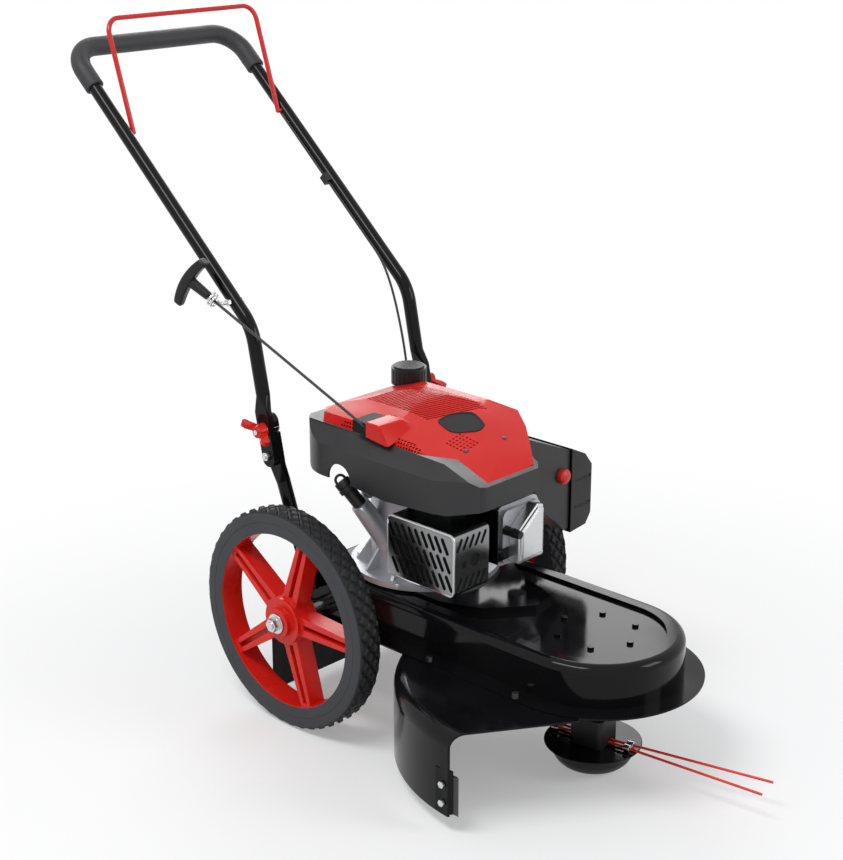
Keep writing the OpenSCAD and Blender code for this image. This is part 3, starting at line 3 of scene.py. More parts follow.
import bmesh
import bpy
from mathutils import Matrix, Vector


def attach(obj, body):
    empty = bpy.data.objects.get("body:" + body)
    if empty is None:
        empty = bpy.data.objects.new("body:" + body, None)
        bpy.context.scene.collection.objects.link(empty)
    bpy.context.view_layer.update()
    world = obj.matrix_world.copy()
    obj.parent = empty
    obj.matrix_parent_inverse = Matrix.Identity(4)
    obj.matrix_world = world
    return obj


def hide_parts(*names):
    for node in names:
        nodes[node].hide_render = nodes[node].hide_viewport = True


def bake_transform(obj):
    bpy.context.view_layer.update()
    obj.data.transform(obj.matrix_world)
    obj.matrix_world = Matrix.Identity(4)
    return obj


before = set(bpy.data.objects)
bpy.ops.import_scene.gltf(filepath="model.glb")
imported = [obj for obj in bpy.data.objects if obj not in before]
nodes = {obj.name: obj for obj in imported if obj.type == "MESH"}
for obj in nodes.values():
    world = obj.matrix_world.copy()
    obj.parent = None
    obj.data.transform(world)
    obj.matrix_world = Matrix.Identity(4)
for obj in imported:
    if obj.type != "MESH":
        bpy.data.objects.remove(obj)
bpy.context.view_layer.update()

scene = bpy.context.scene
scene.view_settings.view_transform = "Standard"

# Camera: stands ahead of the machine on its right, a little above the handle, as in the photograph.
# Its 36 mm sensor lies along the taller side of the picture.
camera_turn, camera_tilt = math.radians(43.53), math.radians(18.90)
camera = bpy.data.objects.new("camera", bpy.data.cameras.new("camera"))
camera.data.lens = 74.81
camera.data.sensor_width = 36.0
camera.location = (1.453, -1.902, 1.343)
camera.rotation_euler = (math.pi / 2 - camera_tilt, 0.0, camera_turn)
scene.collection.objects.link(camera)
scene.camera = camera

# Starter rope: braided cord, 4.5 mm thick, drawn tight from the engine's outlet to the eye on the handle.
# A short tail inside the starter handle comes out as the handle is pulled.
rope_d, rope_in, rope_tail = 0.0045, 0.012, 0.030
rope_eye = Vector((-0.592, -0.210, 0.650))
rope_outlet = Vector((-0.357, -0.120, 0.479))
rope_way = (rope_eye - rope_outlet).normalized()
rope_start = rope_outlet - rope_in * rope_way
tail_end = rope_eye + rope_tail * rope_way
cord_sides, rope_points, tail_points = 12, 28, 12
# Places of a Mix node's colour sockets, which share their names with its other sockets
mix_first, mix_second, mix_result = 6, 7, 2


def straight(a, b, count):
    """Points on the straight line from a to b, with both ends."""
    return [a.lerp(b, k / (count - 1)) for k in range(count)]


def placed(name, data):
    """A mesh or a lamp as an object of the scene."""
    item = bpy.data.objects.new(name, data)
    scene.collection.objects.link(item)
    return item


def built(name, bm):
    """The edited mesh as a piece of the scene."""
    mesh = bpy.data.meshes.new(name)
    bm.to_mesh(mesh)
    bm.free()
    return placed(name, mesh)


def tube(name, path, radius, sides, ends=None):
    """A round tube along a path, with its girth and length as UV. ends scales the rings that it names."""
    ends = ends or {}
    bm = bmesh.new()
    uv = bm.loops.layers.uv.new("along")
    last = len(path) - 1
    turns = [2 * math.pi * k / sides for k in range(sides)]
    out = (path[1] - path[0]).normalized().orthogonal().normalized()
    rings, runs = [], [0.0]
    for i, point in enumerate(path):
        way = (path[min(i + 1, last)] - path[max(i - 1, 0)]).normalized()
        out = (out - out.dot(way) * way).normalized()
        side = way.cross(out)
        r = radius * ends.get(i, ends.get(i - last - 1, 1.0))
        rings.append([bm.verts.new(point + r * (math.cos(a) * out + math.sin(a) * side)) for a in turns])
        if i:
            runs.append(runs[-1] + (point - path[i - 1]).length)
    for i in range(last):
        for k in range(sides):
            j = (k + 1) % sides
            face = bm.faces.new((rings[i][k], rings[i][j], rings[i + 1][j], rings[i + 1][k]))
            face.smooth = True
            corners = ((k, i), (k + 1, i), (k + 1, i + 1), (k, i + 1))
            for loop, (u, v) in zip(face.loops, corners):
                loop[uv].uv = (u / sides, runs[v])
    bm.faces.new(rings[0][::-1])
    bm.faces.new(rings[last])
    return built(name, bm)


def feed(tree, socket, source):
    """Links a socket to another, or sets it to a number or colour."""
    if isinstance(source, bpy.types.NodeSocket):
        tree.links.new(source, socket)
    else:
        socket.default_value = source


def reckon(tree, operation, *operands):
    """The result of a Math node on sockets or numbers."""
    node = tree.nodes.new("ShaderNodeMath")
    node.operation = operation
    for socket, operand in zip(node.inputs, operands):
        feed(tree, socket, operand)
    return node.outputs[0]


def mixed(tree, share, first, second):
    """A colour between two others, by a share that changes over the surface."""
    node = tree.nodes.new("ShaderNodeMix")
    node.data_type = "RGBA"
    feed(tree, node.inputs[0], share)
    feed(tree, node.inputs[mix_first], first)
    feed(tree, node.inputs[mix_second], second)
    return node.outputs[mix_result]


def emboss(tree, shader, height, depth):
    """Raises a relief of some depth on the shader's surface."""
    bump = tree.nodes.new("ShaderNodeBump")
    bump.inputs["Distance"].default_value = depth
    tree.links.new(height, bump.inputs["Height"])
    tree.links.new(bump.outputs["Normal"], shader.inputs["Normal"])


def braided(name, colour, strands, lay, shade=0.35, depth=0.0004):
    """Cord of crossing strands: a wave round and along it for each hand of the weave, and painted shade in
    its grooves.
    """
    material = bpy.data.materials.new(name)
    material.use_nodes = True
    tree = material.node_tree
    shader = tree.nodes["Principled BSDF"]
    shader.inputs["Roughness"].default_value = 0.75
    shader.inputs["Sheen Weight"].default_value = 0.3
    where = tree.nodes.new("ShaderNodeUVMap")
    where.uv_map = "along"
    waves = []
    for hand in (-1, 1):
        turn = tree.nodes.new("ShaderNodeMapping")
        turn.inputs["Scale"].default_value = (hand * strands, 1 / lay, 1.0)
        split = tree.nodes.new("ShaderNodeSeparateXYZ")
        tree.links.new(where.outputs["UV"], turn.inputs["Vector"])
        tree.links.new(turn.outputs["Vector"], split.inputs["Vector"])
        turns = reckon(tree, "ADD", split.outputs["X"], split.outputs["Y"])
        waves.append(reckon(tree, "SINE", reckon(tree, "MULTIPLY", turns, 2 * math.pi)))
    weave = reckon(tree, "MAXIMUM", *waves)
    # Painted shade: the colour drops to a share of itself in the grooves between the strands.
    tint = mixed(tree, weave, (*(shade * c for c in colour), 1.0), (*colour, 1.0))
    tree.links.new(tint, shader.inputs["Base Color"])
    emboss(tree, shader, weave, depth)
    return material


rope_weave = braided("rope_weave", (0.045, 0.046, 0.05), strands=4, lay=0.006)
rope_path = straight(rope_start, rope_eye, rope_points)
starter_rope = tube("starter_rope_run", rope_path, rope_d / 2, cord_sides)
starter_rope.data.materials.append(rope_weave)
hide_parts("starter_rope")
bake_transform(starter_rope)

rope_end = tube("starter_rope_tail", straight(rope_eye, tail_end, tail_points), rope_d / 2, cord_sides)
rope_end.data.materials.append(rope_weave)
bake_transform(rope_end)

# Brake cable: a wire in a 4 mm moulded sheath, clipped inside the left arm from the bail to the elbow.
# From there it drops free, in one easy bend, into the engine shroud.
cable_d, cable_clear = 0.004, 0.0003
lean_low, lean_up = math.radians(11.6), math.radians(48.0)
fold_pivot = Vector((-0.5085, 0.0, 0.411))
elbow_at, arm_len, handle_half, handle_tube_d = 0.201, 0.572, 0.171, 0.022
elbow = fold_pivot + elbow_at * Vector((-math.sin(lean_low), 0.0, math.cos(lean_low)))
arm_way = Vector((-math.sin(lean_up), 0.0, math.cos(lean_up)))
clip_high, clip_low, clip_points = 0.382, 0.080, 12
drop_steps = 3
cable_drop = [Vector(p) for p in (
    (-0.590, 0.154, 0.646), (-0.572, 0.149, 0.626), (-0.552, 0.142, 0.598), (-0.534, 0.135, 0.566),
    (-0.518, 0.128, 0.534), (-0.504, 0.121, 0.502), (-0.492, 0.114, 0.472), (-0.483, 0.107, 0.446))]


def on_arm(distance, y):
    """A point at a distance up the long arm from its elbow, y to the left of the machine's middle."""
    return elbow + distance * arm_way + Vector((0.0, y, 0.0))


def eased(points, steps):
    """The points with steps - 1 more on the smooth curve through each pair of them."""
    last = len(points) - 1
    curve = []
    for k in range(last):
        before, after = points[max(k - 1, 0)], points[min(k + 2, last)]
        a, b = points[k], points[k + 1]
        for t in (i / steps for i in range(steps)):
            cubic = 3 * a - before - 3 * b + after
            square = 2 * before - 5 * a + 4 * b - after
            curve.append(a + 0.5 * t * ((b - before) + t * (square + t * cubic)))
    return curve + [points[-1]]


cable_y = handle_half - handle_tube_d / 2 - cable_d / 2 - cable_clear
cable_top, cable_bend = on_arm(clip_high, cable_y), on_arm(clip_low, cable_y)
cable_path = straight(cable_top, cable_bend, clip_points)[:-1] + eased([cable_bend] + cable_drop, drop_steps)
cable_path.reverse()
brake_cable = tube("brake_cable_sheath", cable_path, cable_d / 2, cord_sides)
brake_cable.data.materials.append(braided("cable_sheath", (0.02, 0.02, 0.022), strands=1, lay=0.0035))
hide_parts("brake_cable")
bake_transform(brake_cable)

# Deck: pressed 2.5 mm sheet steel, painted gloss black, with a raised seat for the engine.
# The paint is thick enough to round the edges and shows a faint orange peel.
surface_grain = bpy.data.node_groups.new("surface_grain", "ShaderNodeTree")
for label, start in (("Scale", 200.0), ("Least Roughness", 0.3), ("Most Roughness", 0.5)):
    socket = surface_grain.interface.new_socket(name=label, in_out="INPUT", socket_type="NodeSocketFloat")
    socket.default_value = start
for label in ("Roughness", "Height", "Mottle"):
    surface_grain.interface.new_socket(name=label, in_out="OUTPUT", socket_type="NodeSocketFloat")
grain_in = surface_grain.nodes.new("NodeGroupInput")
grain_out = surface_grain.nodes.new("NodeGroupOutput")
grain_place = surface_grain.nodes.new("ShaderNodeTexCoord")
grain_fine = surface_grain.nodes.new("ShaderNodeTexNoise")
grain_fine.inputs["Detail"].default_value = 3.0
grain_broad = surface_grain.nodes.new("ShaderNodeTexNoise")
grain_broad.inputs["Scale"].default_value = 14.0
grain_broad.inputs["Detail"].default_value = 5.0
grain_gloss = surface_grain.nodes.new("ShaderNodeMapRange")
grain_gloss.inputs["From Min"].default_value = 0.35
grain_gloss.inputs["From Max"].default_value = 0.65
for texture in (grain_fine, grain_broad):
    surface_grain.links.new(grain_place.outputs["Object"], texture.inputs["Vector"])
for source, target in (
        (grain_in.outputs["Scale"], grain_fine.inputs["Scale"]),
        (grain_broad.outputs["Fac"], grain_gloss.inputs["Value"]),
        (grain_in.outputs["Least Roughness"], grain_gloss.inputs["To Min"]),
        (grain_in.outputs["Most Roughness"], grain_gloss.inputs["To Max"]),
        (grain_gloss.outputs["Result"], grain_out.inputs["Roughness"]),
        (grain_fine.outputs["Fac"], grain_out.inputs["Height"]),
        (grain_broad.outputs["Fac"], grain_out.inputs["Mottle"])):
    surface_grain.links.new(source, target)
weld_reach, edge_rounds, edge_angle = 2e-6, 2, math.radians(34)


def surface(name, dark, light, scale, gloss, depth, **sockets):
    """A painted, moulded, cast or rolled surface: mottled colour, uneven gloss and a fine grain."""
    material = bpy.data.materials.new(name)
    material.use_nodes = True
    tree = material.node_tree
    shader = tree.nodes["Principled BSDF"]
    for label, value in sockets.items():
        shader.inputs[label.replace("_", " ")].default_value = value
    grain = tree.nodes.new("ShaderNodeGroup")
    grain.node_tree = surface_grain
    grain.inputs["Scale"].default_value = scale
    grain.inputs["Least Roughness"].default_value = gloss[0]
    grain.inputs["Most Roughness"].default_value = gloss[1]
    tint = mixed(tree, grain.outputs["Mottle"], (*dark, 1.0), (*light, 1.0))
    tree.links.new(tint, shader.inputs["Base Color"])
    tree.links.new(grain.outputs["Roughness"], shader.inputs["Roughness"])
    emboss(tree, shader, grain.outputs["Height"], depth)
    return material


def dress(material, *names, edge=0.0):
    """Gives CAD nodes a finish, and breaks their sharp edges by a small radius."""
    for name in names:
        piece = nodes[name]
        for slot in piece.material_slots:
            slot.material = material
        if edge:
            weld = piece.modifiers.new("weld", "WELD")
            weld.merge_threshold = weld_reach
            bevel = piece.modifiers.new("edge", "BEVEL")
            bevel.width = edge
            bevel.segments = edge_rounds
            bevel.limit_method = "ANGLE"
            bevel.angle_limit = edge_angle
            piece.modifiers.new("shade", "WEIGHTED_NORMAL")


black_paint = surface("black_paint", (0.003, 0.003, 0.0035), (0.007, 0.007, 0.008), scale=700.0,
                      gloss=(0.06, 0.14), depth=0.00002, Specular_IOR_Level=0.16)
dress(black_paint, "deck")

# Drive under the deck: a cast iron bearing housing, bearings and a turned spindle, two iron pulleys
# and a rubber wedge belt. All of it is left as it comes from the machine shop.
cast_iron = surface("cast_iron", (0.10, 0.10, 0.105), (0.19, 0.19, 0.195), scale=420.0,
                    gloss=(0.45, 0.7), depth=0.0003, Metallic=0.6)
turned_steel = surface("turned_steel", (0.42, 0.43, 0.44), (0.60, 0.61, 0.62), scale=900.0,
                       gloss=(0.22, 0.4), depth=0.00002, Metallic=1.0)
belt_rubber = surface("belt_rubber", (0.012, 0.012, 0.013), (0.028, 0.028, 0.03), scale=600.0,
                      gloss=(0.6, 0.85), depth=0.0002)
dress(cast_iron, "spindle_housing", "spindle_pulley", "engine_pulley")
dress(turned_steel, "spindle", "spindle_bearings", "crankshaft")
dress(belt_rubber, "v_belt")

# Cutting head: a painted steel disc, a moulded hub and glide bowl, four pressed steel eyelets,
# and red nylon line, which has a waxy, slightly see-through look.
tough_plastic = surface("tough_plastic", (0.007, 0.007, 0.008), (0.015, 0.015, 0.016), scale=1500.0,
                        gloss=(0.30, 0.48), depth=0.00008, Specular_IOR_Level=0.3)
line_nylon = surface("line_nylon", (0.62, 0.020, 0.012), (0.80, 0.040, 0.022), scale=500.0,
                     gloss=(0.28, 0.45), depth=0.0001, Subsurface_Weight=0.1)
zinc_finish = {"dark": (0.55, 0.56, 0.57), "light": (0.74, 0.75, 0.76), "scale": 800.0,
               "gloss": (0.16, 0.32), "depth": 0.00003, "Metallic": 1.0}
bright_steel = surface("bright_steel", **zinc_finish)
dress(black_paint, "head_disc")
dress(tough_plastic, "head_hub", edge=0.0008)
dress(tough_plastic, "glide_bowl")
dress(bright_steel, "line_eyelets", edge=0.0004)
dress(line_nylon, "trimmer_lines")

# Side guard and line cutter: a pressed guard in the deck's paint, and a hardened cutter plate,
# held by bright hexagon bolts. The spindle's screws are coloured near black above the deck.
cutter_steel = surface("cutter_steel", (0.05, 0.05, 0.055), (0.11, 0.11, 0.115), scale=700.0,
                       gloss=(0.3, 0.5), depth=0.00005, Metallic=0.8)
dress(black_paint, "side_guard", edge=0.0008)
dress(cutter_steel, "line_cutter", edge=0.0004)
dress(bright_steel, "frame_bolts", edge=0.0005)

# The screws' colour is mixed to near black above this height.
dark_above, dark_head_colour = 0.205, (0.022, 0.022, 0.024, 1.0)
bolt_steel = surface("bolt_steel", **zinc_finish)
tree = bolt_steel.node_tree
where = tree.nodes.new("ShaderNodeTexCoord")
height = tree.nodes.new("ShaderNodeSeparateXYZ")
tree.links.new(where.outputs["Object"], height.inputs["Vector"])
above = reckon(tree, "GREATER_THAN", height.outputs["Z"], dark_above)
colour = tree.nodes["Principled BSDF"].inputs["Base Color"]
tree.links.new(mixed(tree, above, colour.links[0].from_socket, dark_head_colour), colour)
dress(bolt_steel, "deck_bolts", edge=0.0005)

# Axle: a ground steel shaft through two plate brackets, flanged to the deck's walls and painted like them.
# Its spacers, washers and nuts are zinc-plated.
dress(black_paint, "axle_brackets", edge=0.0006)
dress(bright_steel, "axle", "axle_fittings", edge=0.0005)

# Rear flap: a sheet of black rubber that keeps cuttings off the operator's feet.
# It is bolted to a painted steel angle that runs across the machine under the deck's rear lip.
flap_rubber = surface("flap_rubber", (0.008, 0.008, 0.009), (0.018, 0.018, 0.019), scale=350.0,
                      gloss=(0.55, 0.75), depth=0.0003, Specular_IOR_Level=0.3)
dress(black_paint, "flap_bar", edge=0.0005)
dress(flap_rubber, "rear_flap", edge=0.0006)

# Wheels: rims moulded in red plastic with five grooved spokes, and moulded rubber tyres
# whose tread is a lattice of diamond blocks between two plain shoulders.
rim_plastic = surface("rim_plastic", (0.60, 0.011, 0.006), (0.70, 0.016, 0.008), scale=1100.0,
                      gloss=(0.24, 0.36), depth=0.00005, Specular_IOR_Level=0.3)
tread_rubber = surface("tread_rubber", (0.010, 0.010, 0.011), (0.020, 0.020, 0.022), scale=900.0,
                       gloss=(0.45, 0.65), depth=0.00015, Specular_IOR_Level=0.25)
wall_rubber = surface("wall_rubber", (0.043, 0.044, 0.048), (0.059, 0.060, 0.065), scale=700.0,
                      gloss=(0.55, 0.75), depth=0.00010, Specular_IOR_Level=0.25)
dress(rim_plastic, "rim_left", "rim_right", edge=0.0015)
axle_x, axle_z, half_track = -0.423, 0.1775, 0.218
tyre_r, tyre_half, tyre_seat = 0.1775, 0.021, 0.14702
bead_r, bead_half = 0.1396, 0.0202
tread_half, tread_deep, tread_crown, tread_steps = 0.0175, 0.0042, 0.0020, 26
groove_half, groove_flank = 0.0022, 0.0012
diamonds, diamond_h, diamond_steps = 44, 0.0190, 16
tyre_sharp, shoulder_rows = math.radians(38), 2
# Radius and inset of the side wall from bead to shoulder, with a fine groove half way
tyre_wall = ((bead_r, 0.0006), (0.1402, 0.0001), (0.1560, 0.0001), (0.1564, 0.0006), (0.1572, 0.0006),
             (0.1576, 0.0001), (0.1692, 0.0001), (0.1716, 0.0008), (0.1738, 0.0026))


def tread_drop(turn, y):
    """Depth of the diamond grooves at a place on the tread: 0 on a block, tread_deep in a groove."""
    pitch = 2 * math.pi * tyre_r / diamonds
    steep = diamond_h / math.hypot(pitch, diamond_h)
    around = turn * diamonds / (2 * math.pi)
    nearest = min(abs((around + hand * y / diamond_h + 0.5) % 1.0 - 0.5) for hand in (-1, 1))
    edge = (nearest * pitch * steep - groove_half) / groove_flank
    return tread_deep * (1.0 - min(max(edge, 0.0), 1.0))


def tyre(name, side):
    """A tyre turned about the axle from one closed profile, with the grooves pressed into its tread."""
    lower = [(r, -tyre_half + inset) for r, inset in tyre_wall]
    upper = [(r, -y) for r, y in reversed(lower)]
    ys = [tread_half * (2 * k / tread_steps - 1) for k in range(tread_steps + 1)]
    tread = [(tyre_r - tread_crown * (abs(y) / tread_half) ** 4, y) for y in ys]
    seat = [(bead_r, bead_half), (tyre_seat, bead_half), (tyre_seat, -bead_half), (bead_r, -bead_half)]
    profile = lower + tread + upper + seat
    first, final, count = len(lower), len(lower) + len(tread), len(profile)
    around = diamonds * diamond_steps
    points, faces = [], []
    for i in range(around):
        turn = 2 * math.pi * i / around
        for k, (r, y) in enumerate(profile):
            if first <= k < final:
                r -= tread_drop(turn, y)
            points.append((axle_x + r * math.sin(turn), side * half_track + y, axle_z + r * math.cos(turn)))
    for i in range(around):
        here, there = i * count, (i + 1) % around * count
        for k in range(count):
            j = (k + 1) % count
            faces.append((here + k, here + j, there + j, there + k))
    mesh = bpy.data.meshes.new(name)
    mesh.from_pydata(points, [], faces)
    mesh.shade_smooth()
    mesh.set_sharp_from_angle(angle=tyre_sharp)
    mesh.materials.append(tread_rubber)
    mesh.materials.append(wall_rubber)
    for face in mesh.polygons:
        on_tread = first - shoulder_rows <= face.index % count <= final
        face.material_index = 0 if on_tread else 1
    return placed(name, mesh)


for side, word in ((1, "left"), (-1, "right")):
    tread = tyre("tread_" + word, side)
    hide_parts("tyre_" + word)
    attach(tread, "wheel_" + word)

# Engine block: a cast aluminium crankcase, bolted to the deck's seat, with its finned barrel and head.
# The valve cover is a brighter die casting, and a painted steel baffle guides air over the head.
cast_aluminium = surface("cast_aluminium", (0.36, 0.37, 0.39), (0.54, 0.55, 0.58), scale=520.0,
                         gloss=(0.36, 0.52), depth=0.0003, Metallic=0.8)
die_cast = surface("die_cast", (0.60, 0.61, 0.62), (0.72, 0.73, 0.74), scale=900.0,
                   gloss=(0.25, 0.38), depth=0.00008, Metallic=0.9)
dress(cast_aluminium, "crankcase", edge=0.0006)
dress(cast_aluminium, "cylinder_head", "carburettor", "flywheel", edge=0.0008)
dress(die_cast, "valve_cover", edge=0.0014)
dress(black_paint, "head_baffle", edge=0.0004)
dress(tough_plastic, "spark_plug")

# Exhaust: a black muffler box inside a pressed guard of polished steel, slotted for air.
# The guard's open face is stiffened by a rolled rim, and it is screwed to the muffler.
guard_steel = surface("guard_steel", (0.18, 0.183, 0.188), (0.34, 0.343, 0.348), scale=650.0,
                      gloss=(0.12, 0.22), depth=0.00004, Metallic=1.0)
muffler_black = surface("muffler_black", (0.004, 0.004, 0.004), (0.009, 0.009, 0.008), scale=300.0,
                        gloss=(0.6, 0.8), depth=0.0002, Specular_IOR_Level=0.15)
dress(guard_steel, "muffler_guard", edge=0.0007)
dress(muffler_black, "muffler")
crank_x, seat_z = -0.345, 0.226
guard_x, guard_y, guard_z = 0.062, -0.150, 0.045
guard_len, guard_h, guard_corner = 0.136, 0.098, 0.010
rim_r, rim_sunk, rim_sides, corner_steps = 0.0021, 0.8, 14, 8
rim_inset = rim_sunk * rim_r
rim_turn = guard_corner - rim_inset
rim_path = [Vector((guard_x + guard_len / 2, guard_y + rim_inset, guard_z + rim_inset))]
for quarter, (x, z) in enumerate(((1, 0), (1, 1), (0, 1), (0, 0))):
    middle = Vector((guard_x + guard_corner + x * (guard_len - 2 * guard_corner), rim_path[0].y,
                     guard_z + guard_corner + z * (guard_h - 2 * guard_corner)))
    for k in range(corner_steps + 1):
        a = math.pi / 2 * (quarter - 1 + k / corner_steps)
        rim_path.append(middle + rim_turn * Vector((math.cos(a), 0.0, math.sin(a))))
rim_path = [p + Vector((crank_x, 0.0, seat_z)) for p in rim_path + [rim_path[0]]]
guard_rim = tube("guard_rim", rim_path, rim_r, rim_sides)
guard_rim.data.materials.append(bright_steel)
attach(guard_rim, "chassis")

# Air filter: a charcoal plastic housing with a glossy black clip-on cover over a pleated paper element.
# The red primer bulb is moulded rubber, pressed into the housing.
charcoal = surface("charcoal_plastic", (0.015, 0.015, 0.016), (0.025, 0.025, 0.027), scale=1600.0,
                   gloss=(0.28, 0.42), depth=0.00008, Specular_IOR_Level=0.35)
lid_plastic = surface("lid_plastic", (0.005, 0.005, 0.006), (0.010, 0.010, 0.011), scale=1600.0,
                      gloss=(0.12, 0.20), depth=0.00005, Specular_IOR_Level=0.3)
paper = surface("filter_paper", (0.55, 0.45, 0.27), (0.68, 0.57, 0.36), scale=800.0,
                gloss=(0.8, 0.95), depth=0.0002)
primer_rubber = surface("primer_rubber", (0.50, 0.012, 0.010), (0.62, 0.02, 0.015), scale=900.0,
                        gloss=(0.35, 0.5), depth=0.00005)
dress(charcoal, "filter_base", edge=0.002)
dress(lid_plastic, "filter_cover", edge=0.002)
dress(paper, "filter_element")
dress(primer_rubber, "primer_bulb")

# Engine shroud, tank, fuel cap and recoil starter: moulded plastics under and behind the red cover.
# The shroud stands on four posts, and the rope's outlet is a duller black than the rest.
outlet_plastic = surface("outlet_plastic", (0.004, 0.004, 0.0045), (0.009, 0.009, 0.010), scale=1500.0,
                         gloss=(0.38, 0.52), depth=0.00008, Specular_IOR_Level=0.14)
dress(charcoal, "engine_shroud", edge=0.004)
dress(tough_plastic, "fuel_tank", "starter_pulley", edge=0.001)
dress(outlet_plastic, "recoil_housing", edge=0.001)
dress(tough_plastic, "fuel_cap", edge=0.0008)

# Oil filler and dipstick: a moulded tube pressed into the crankcase, and a stick under a turned cap.
# A finger loop is moulded on the cap, which is screwed down by hand.
dress(tough_plastic, "oil_filler", edge=0.0006)
filler_tip = Vector((-0.403, -0.117, 0.370))
filler_way = Vector((-0.600563, -0.275258, 0.750704))
cap_sides, cap_sharp = 40, math.radians(50)
# Height and radius of the stick, its plug and its cap
cap_turning = ((-0.0320, 0.0020), (-0.0315, 0.0025), (-0.0101, 0.0025), (-0.0100, 0.0055), (0.0003, 0.0055),
               (0.0004, 0.0122), (0.0010, 0.0130), (0.0106, 0.0130), (0.0117, 0.0124), (0.0122, 0.0112))
cap = tube("dipstick_cap", [filler_tip + h * filler_way for h, r in cap_turning], 1.0, cap_sides,
           ends=dict(enumerate(r for h, r in cap_turning)))
cap.data.set_sharp_from_angle(angle=cap_sharp)
loop_r, loop_wire, loop_foot, loop_mid = 0.0076, 0.0022, 0.0105, 0.0135
loop_steps, loop_sides = 16, 14
loop_faces = Vector((0.68, -0.65, 0.35))
loop_side = filler_way.cross(loop_faces).normalized()
loop_plan = [(-loop_r, loop_foot)]
for k in range(loop_steps + 1):
    a = math.pi * (1 - k / loop_steps)
    loop_plan.append((loop_r * math.cos(a), loop_mid + loop_r * math.sin(a)))
loop_plan.append((loop_r, loop_foot))
loop_path = [filler_tip + h * filler_way + u * loop_side for u, h in loop_plan]
loop = tube("dipstick_loop", loop_path, loop_wire, loop_sides)
for piece in (cap, loop):
    piece.data.materials.append(tough_plastic)
    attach(piece, "oil_stick")
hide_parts("dipstick")

# Top cover: glossy red moulding with slanted air slots and rows of square holes, held by two screws.
# A bare dark plate is let into the plane face at its front right.
red_plastic = surface("red_plastic", (0.54, 0.008, 0.005), (0.63, 0.012, 0.008), scale=1200.0,
                      gloss=(0.16, 0.24), depth=0.00004, Specular_IOR_Level=0.2)
plate_plastic = surface("plate_plastic", (0.005, 0.005, 0.006), (0.011, 0.011, 0.012), scale=2200.0,
                        gloss=(0.30, 0.42), depth=0.00006, Specular_IOR_Level=0.12)
dress(red_plastic, "top_cover", edge=0.0012)
hood_at, hood_dip, hood_roll = Vector((0.050, -0.098, 0.241)), 0.1352, 0.2497
hood_out = Vector((hood_dip, -hood_roll, 1.0)).normalized()
plate_plan = ((0.054, -0.035), (0.057, -0.007), (0.083, 0.018),
              (0.121, 0.004), (0.125, -0.015), (0.095, -0.044))
plate_round, plate_steps = 0.3, 5
# Share of the plan and height above the cover, from the plate's foot over its rolled edge to its face
plate_rise = ((1.0, -0.0004), (1.0, 0.0006), (0.98, 0.0012), (0.90, 0.0012), (0.885, 0.0006))


def on_hood(x, y, out=0.0):
    """A point on the cover's front right face, x ahead of the crankshaft and y to the left, lifted by out."""
    z = hood_at.z - hood_dip * (x - hood_at.x) + hood_roll * (y - hood_at.y)
    return Vector((x + crank_x, y, z + seat_z)) + out * hood_out


def lofted(name, outlines, smooth=False):
    """A closed skin over outlines with the same count of points, capped at both ends."""
    bm = bmesh.new()
    rings = [[bm.verts.new(point) for point in outline] for outline in outlines]
    for low, high in zip(rings, rings[1:]):
        for k in range(len(low)):
            j = (k + 1) % len(low)
            bm.faces.new((low[k], low[j], high[j], high[k])).smooth = smooth
    bm.faces.new(rings[0][::-1])
    bm.faces.new(rings[-1])
    bmesh.ops.recalc_face_normals(bm, faces=bm.faces)
    return built(name, bm)


def inlay(name, plan, rise):
    """A flat plate on that face, from its plan and from pairs of share of the plan and height."""
    mid_x, mid_y = (sum(values) / len(plan) for values in zip(*plan))
    outlines = []
    for share, out in rise:
        spread = [(mid_x + share * (x - mid_x), mid_y + share * (y - mid_y)) for x, y in plan]
        outlines.append([on_hood(x, y, out) for x, y in spread])
    return lofted(name, outlines)


def rounded(plan, share, steps):
    """The plan with each corner replaced by an arc between points at a share of its two edges."""
    points = []
    for k, corner in enumerate(plan):
        here, following = Vector(corner), Vector(plan[(k + 1) % len(plan)])
        a, b = here.lerp(Vector(plan[k - 1]), share), here.lerp(following, share)
        for t in (i / steps for i in range(steps + 1)):
            points.append(tuple(a.lerp(here, t).lerp(here.lerp(b, t), t)))
    return points


plate = inlay("cover_plate", rounded(plate_plan, plate_round, plate_steps), plate_rise)
plate.data.materials.append(plate_plastic)
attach(plate, "chassis")
screw_r, screw_sides, screw_dome = 0.0036, 20, {0: 0.97, 3: 0.93, 4: 0.78, 5: 0.45}
screw_rise = (-0.0010, 0.0002, 0.0008, 0.0013, 0.0017, 0.0019)
right_screw = on_hood(0.142, -0.063)
front_screw, front_out = Vector((0.158 + crank_x, 0.003, 0.2444 + seat_z)), Vector((0.309, 0.0, 0.951))
# The screws' dark steel is partly their own colour and partly painted shade of the recesses they sit in.
for word, place, out in (("right", right_screw, hood_out), ("front", front_screw, front_out)):
    screw_path = [place + d * out for d in screw_rise]
    screw = tube("cover_screw_" + word, screw_path, screw_r, screw_sides, ends=screw_dome)
    screw.data.materials.append(cutter_steel)
    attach(screw, "chassis")

# Outlet cowl: a thin red moulding that carries the cover's surface over the front of the rope's outlet,
# so that only the dark mouth shows. It is clipped to the cover, and its foot sits on the shroud's rim.
cowl_back, cowl_front, cowl_foot, cowl_top = -0.005, 0.0228, 0.040, 0.2625
cheek_low, cowl_sunk, cowl_wall = 0.2395, 0.002, 0.0014
cowl_round, cowl_rounds, cowl_angle = 0.0035, 4, math.radians(20)
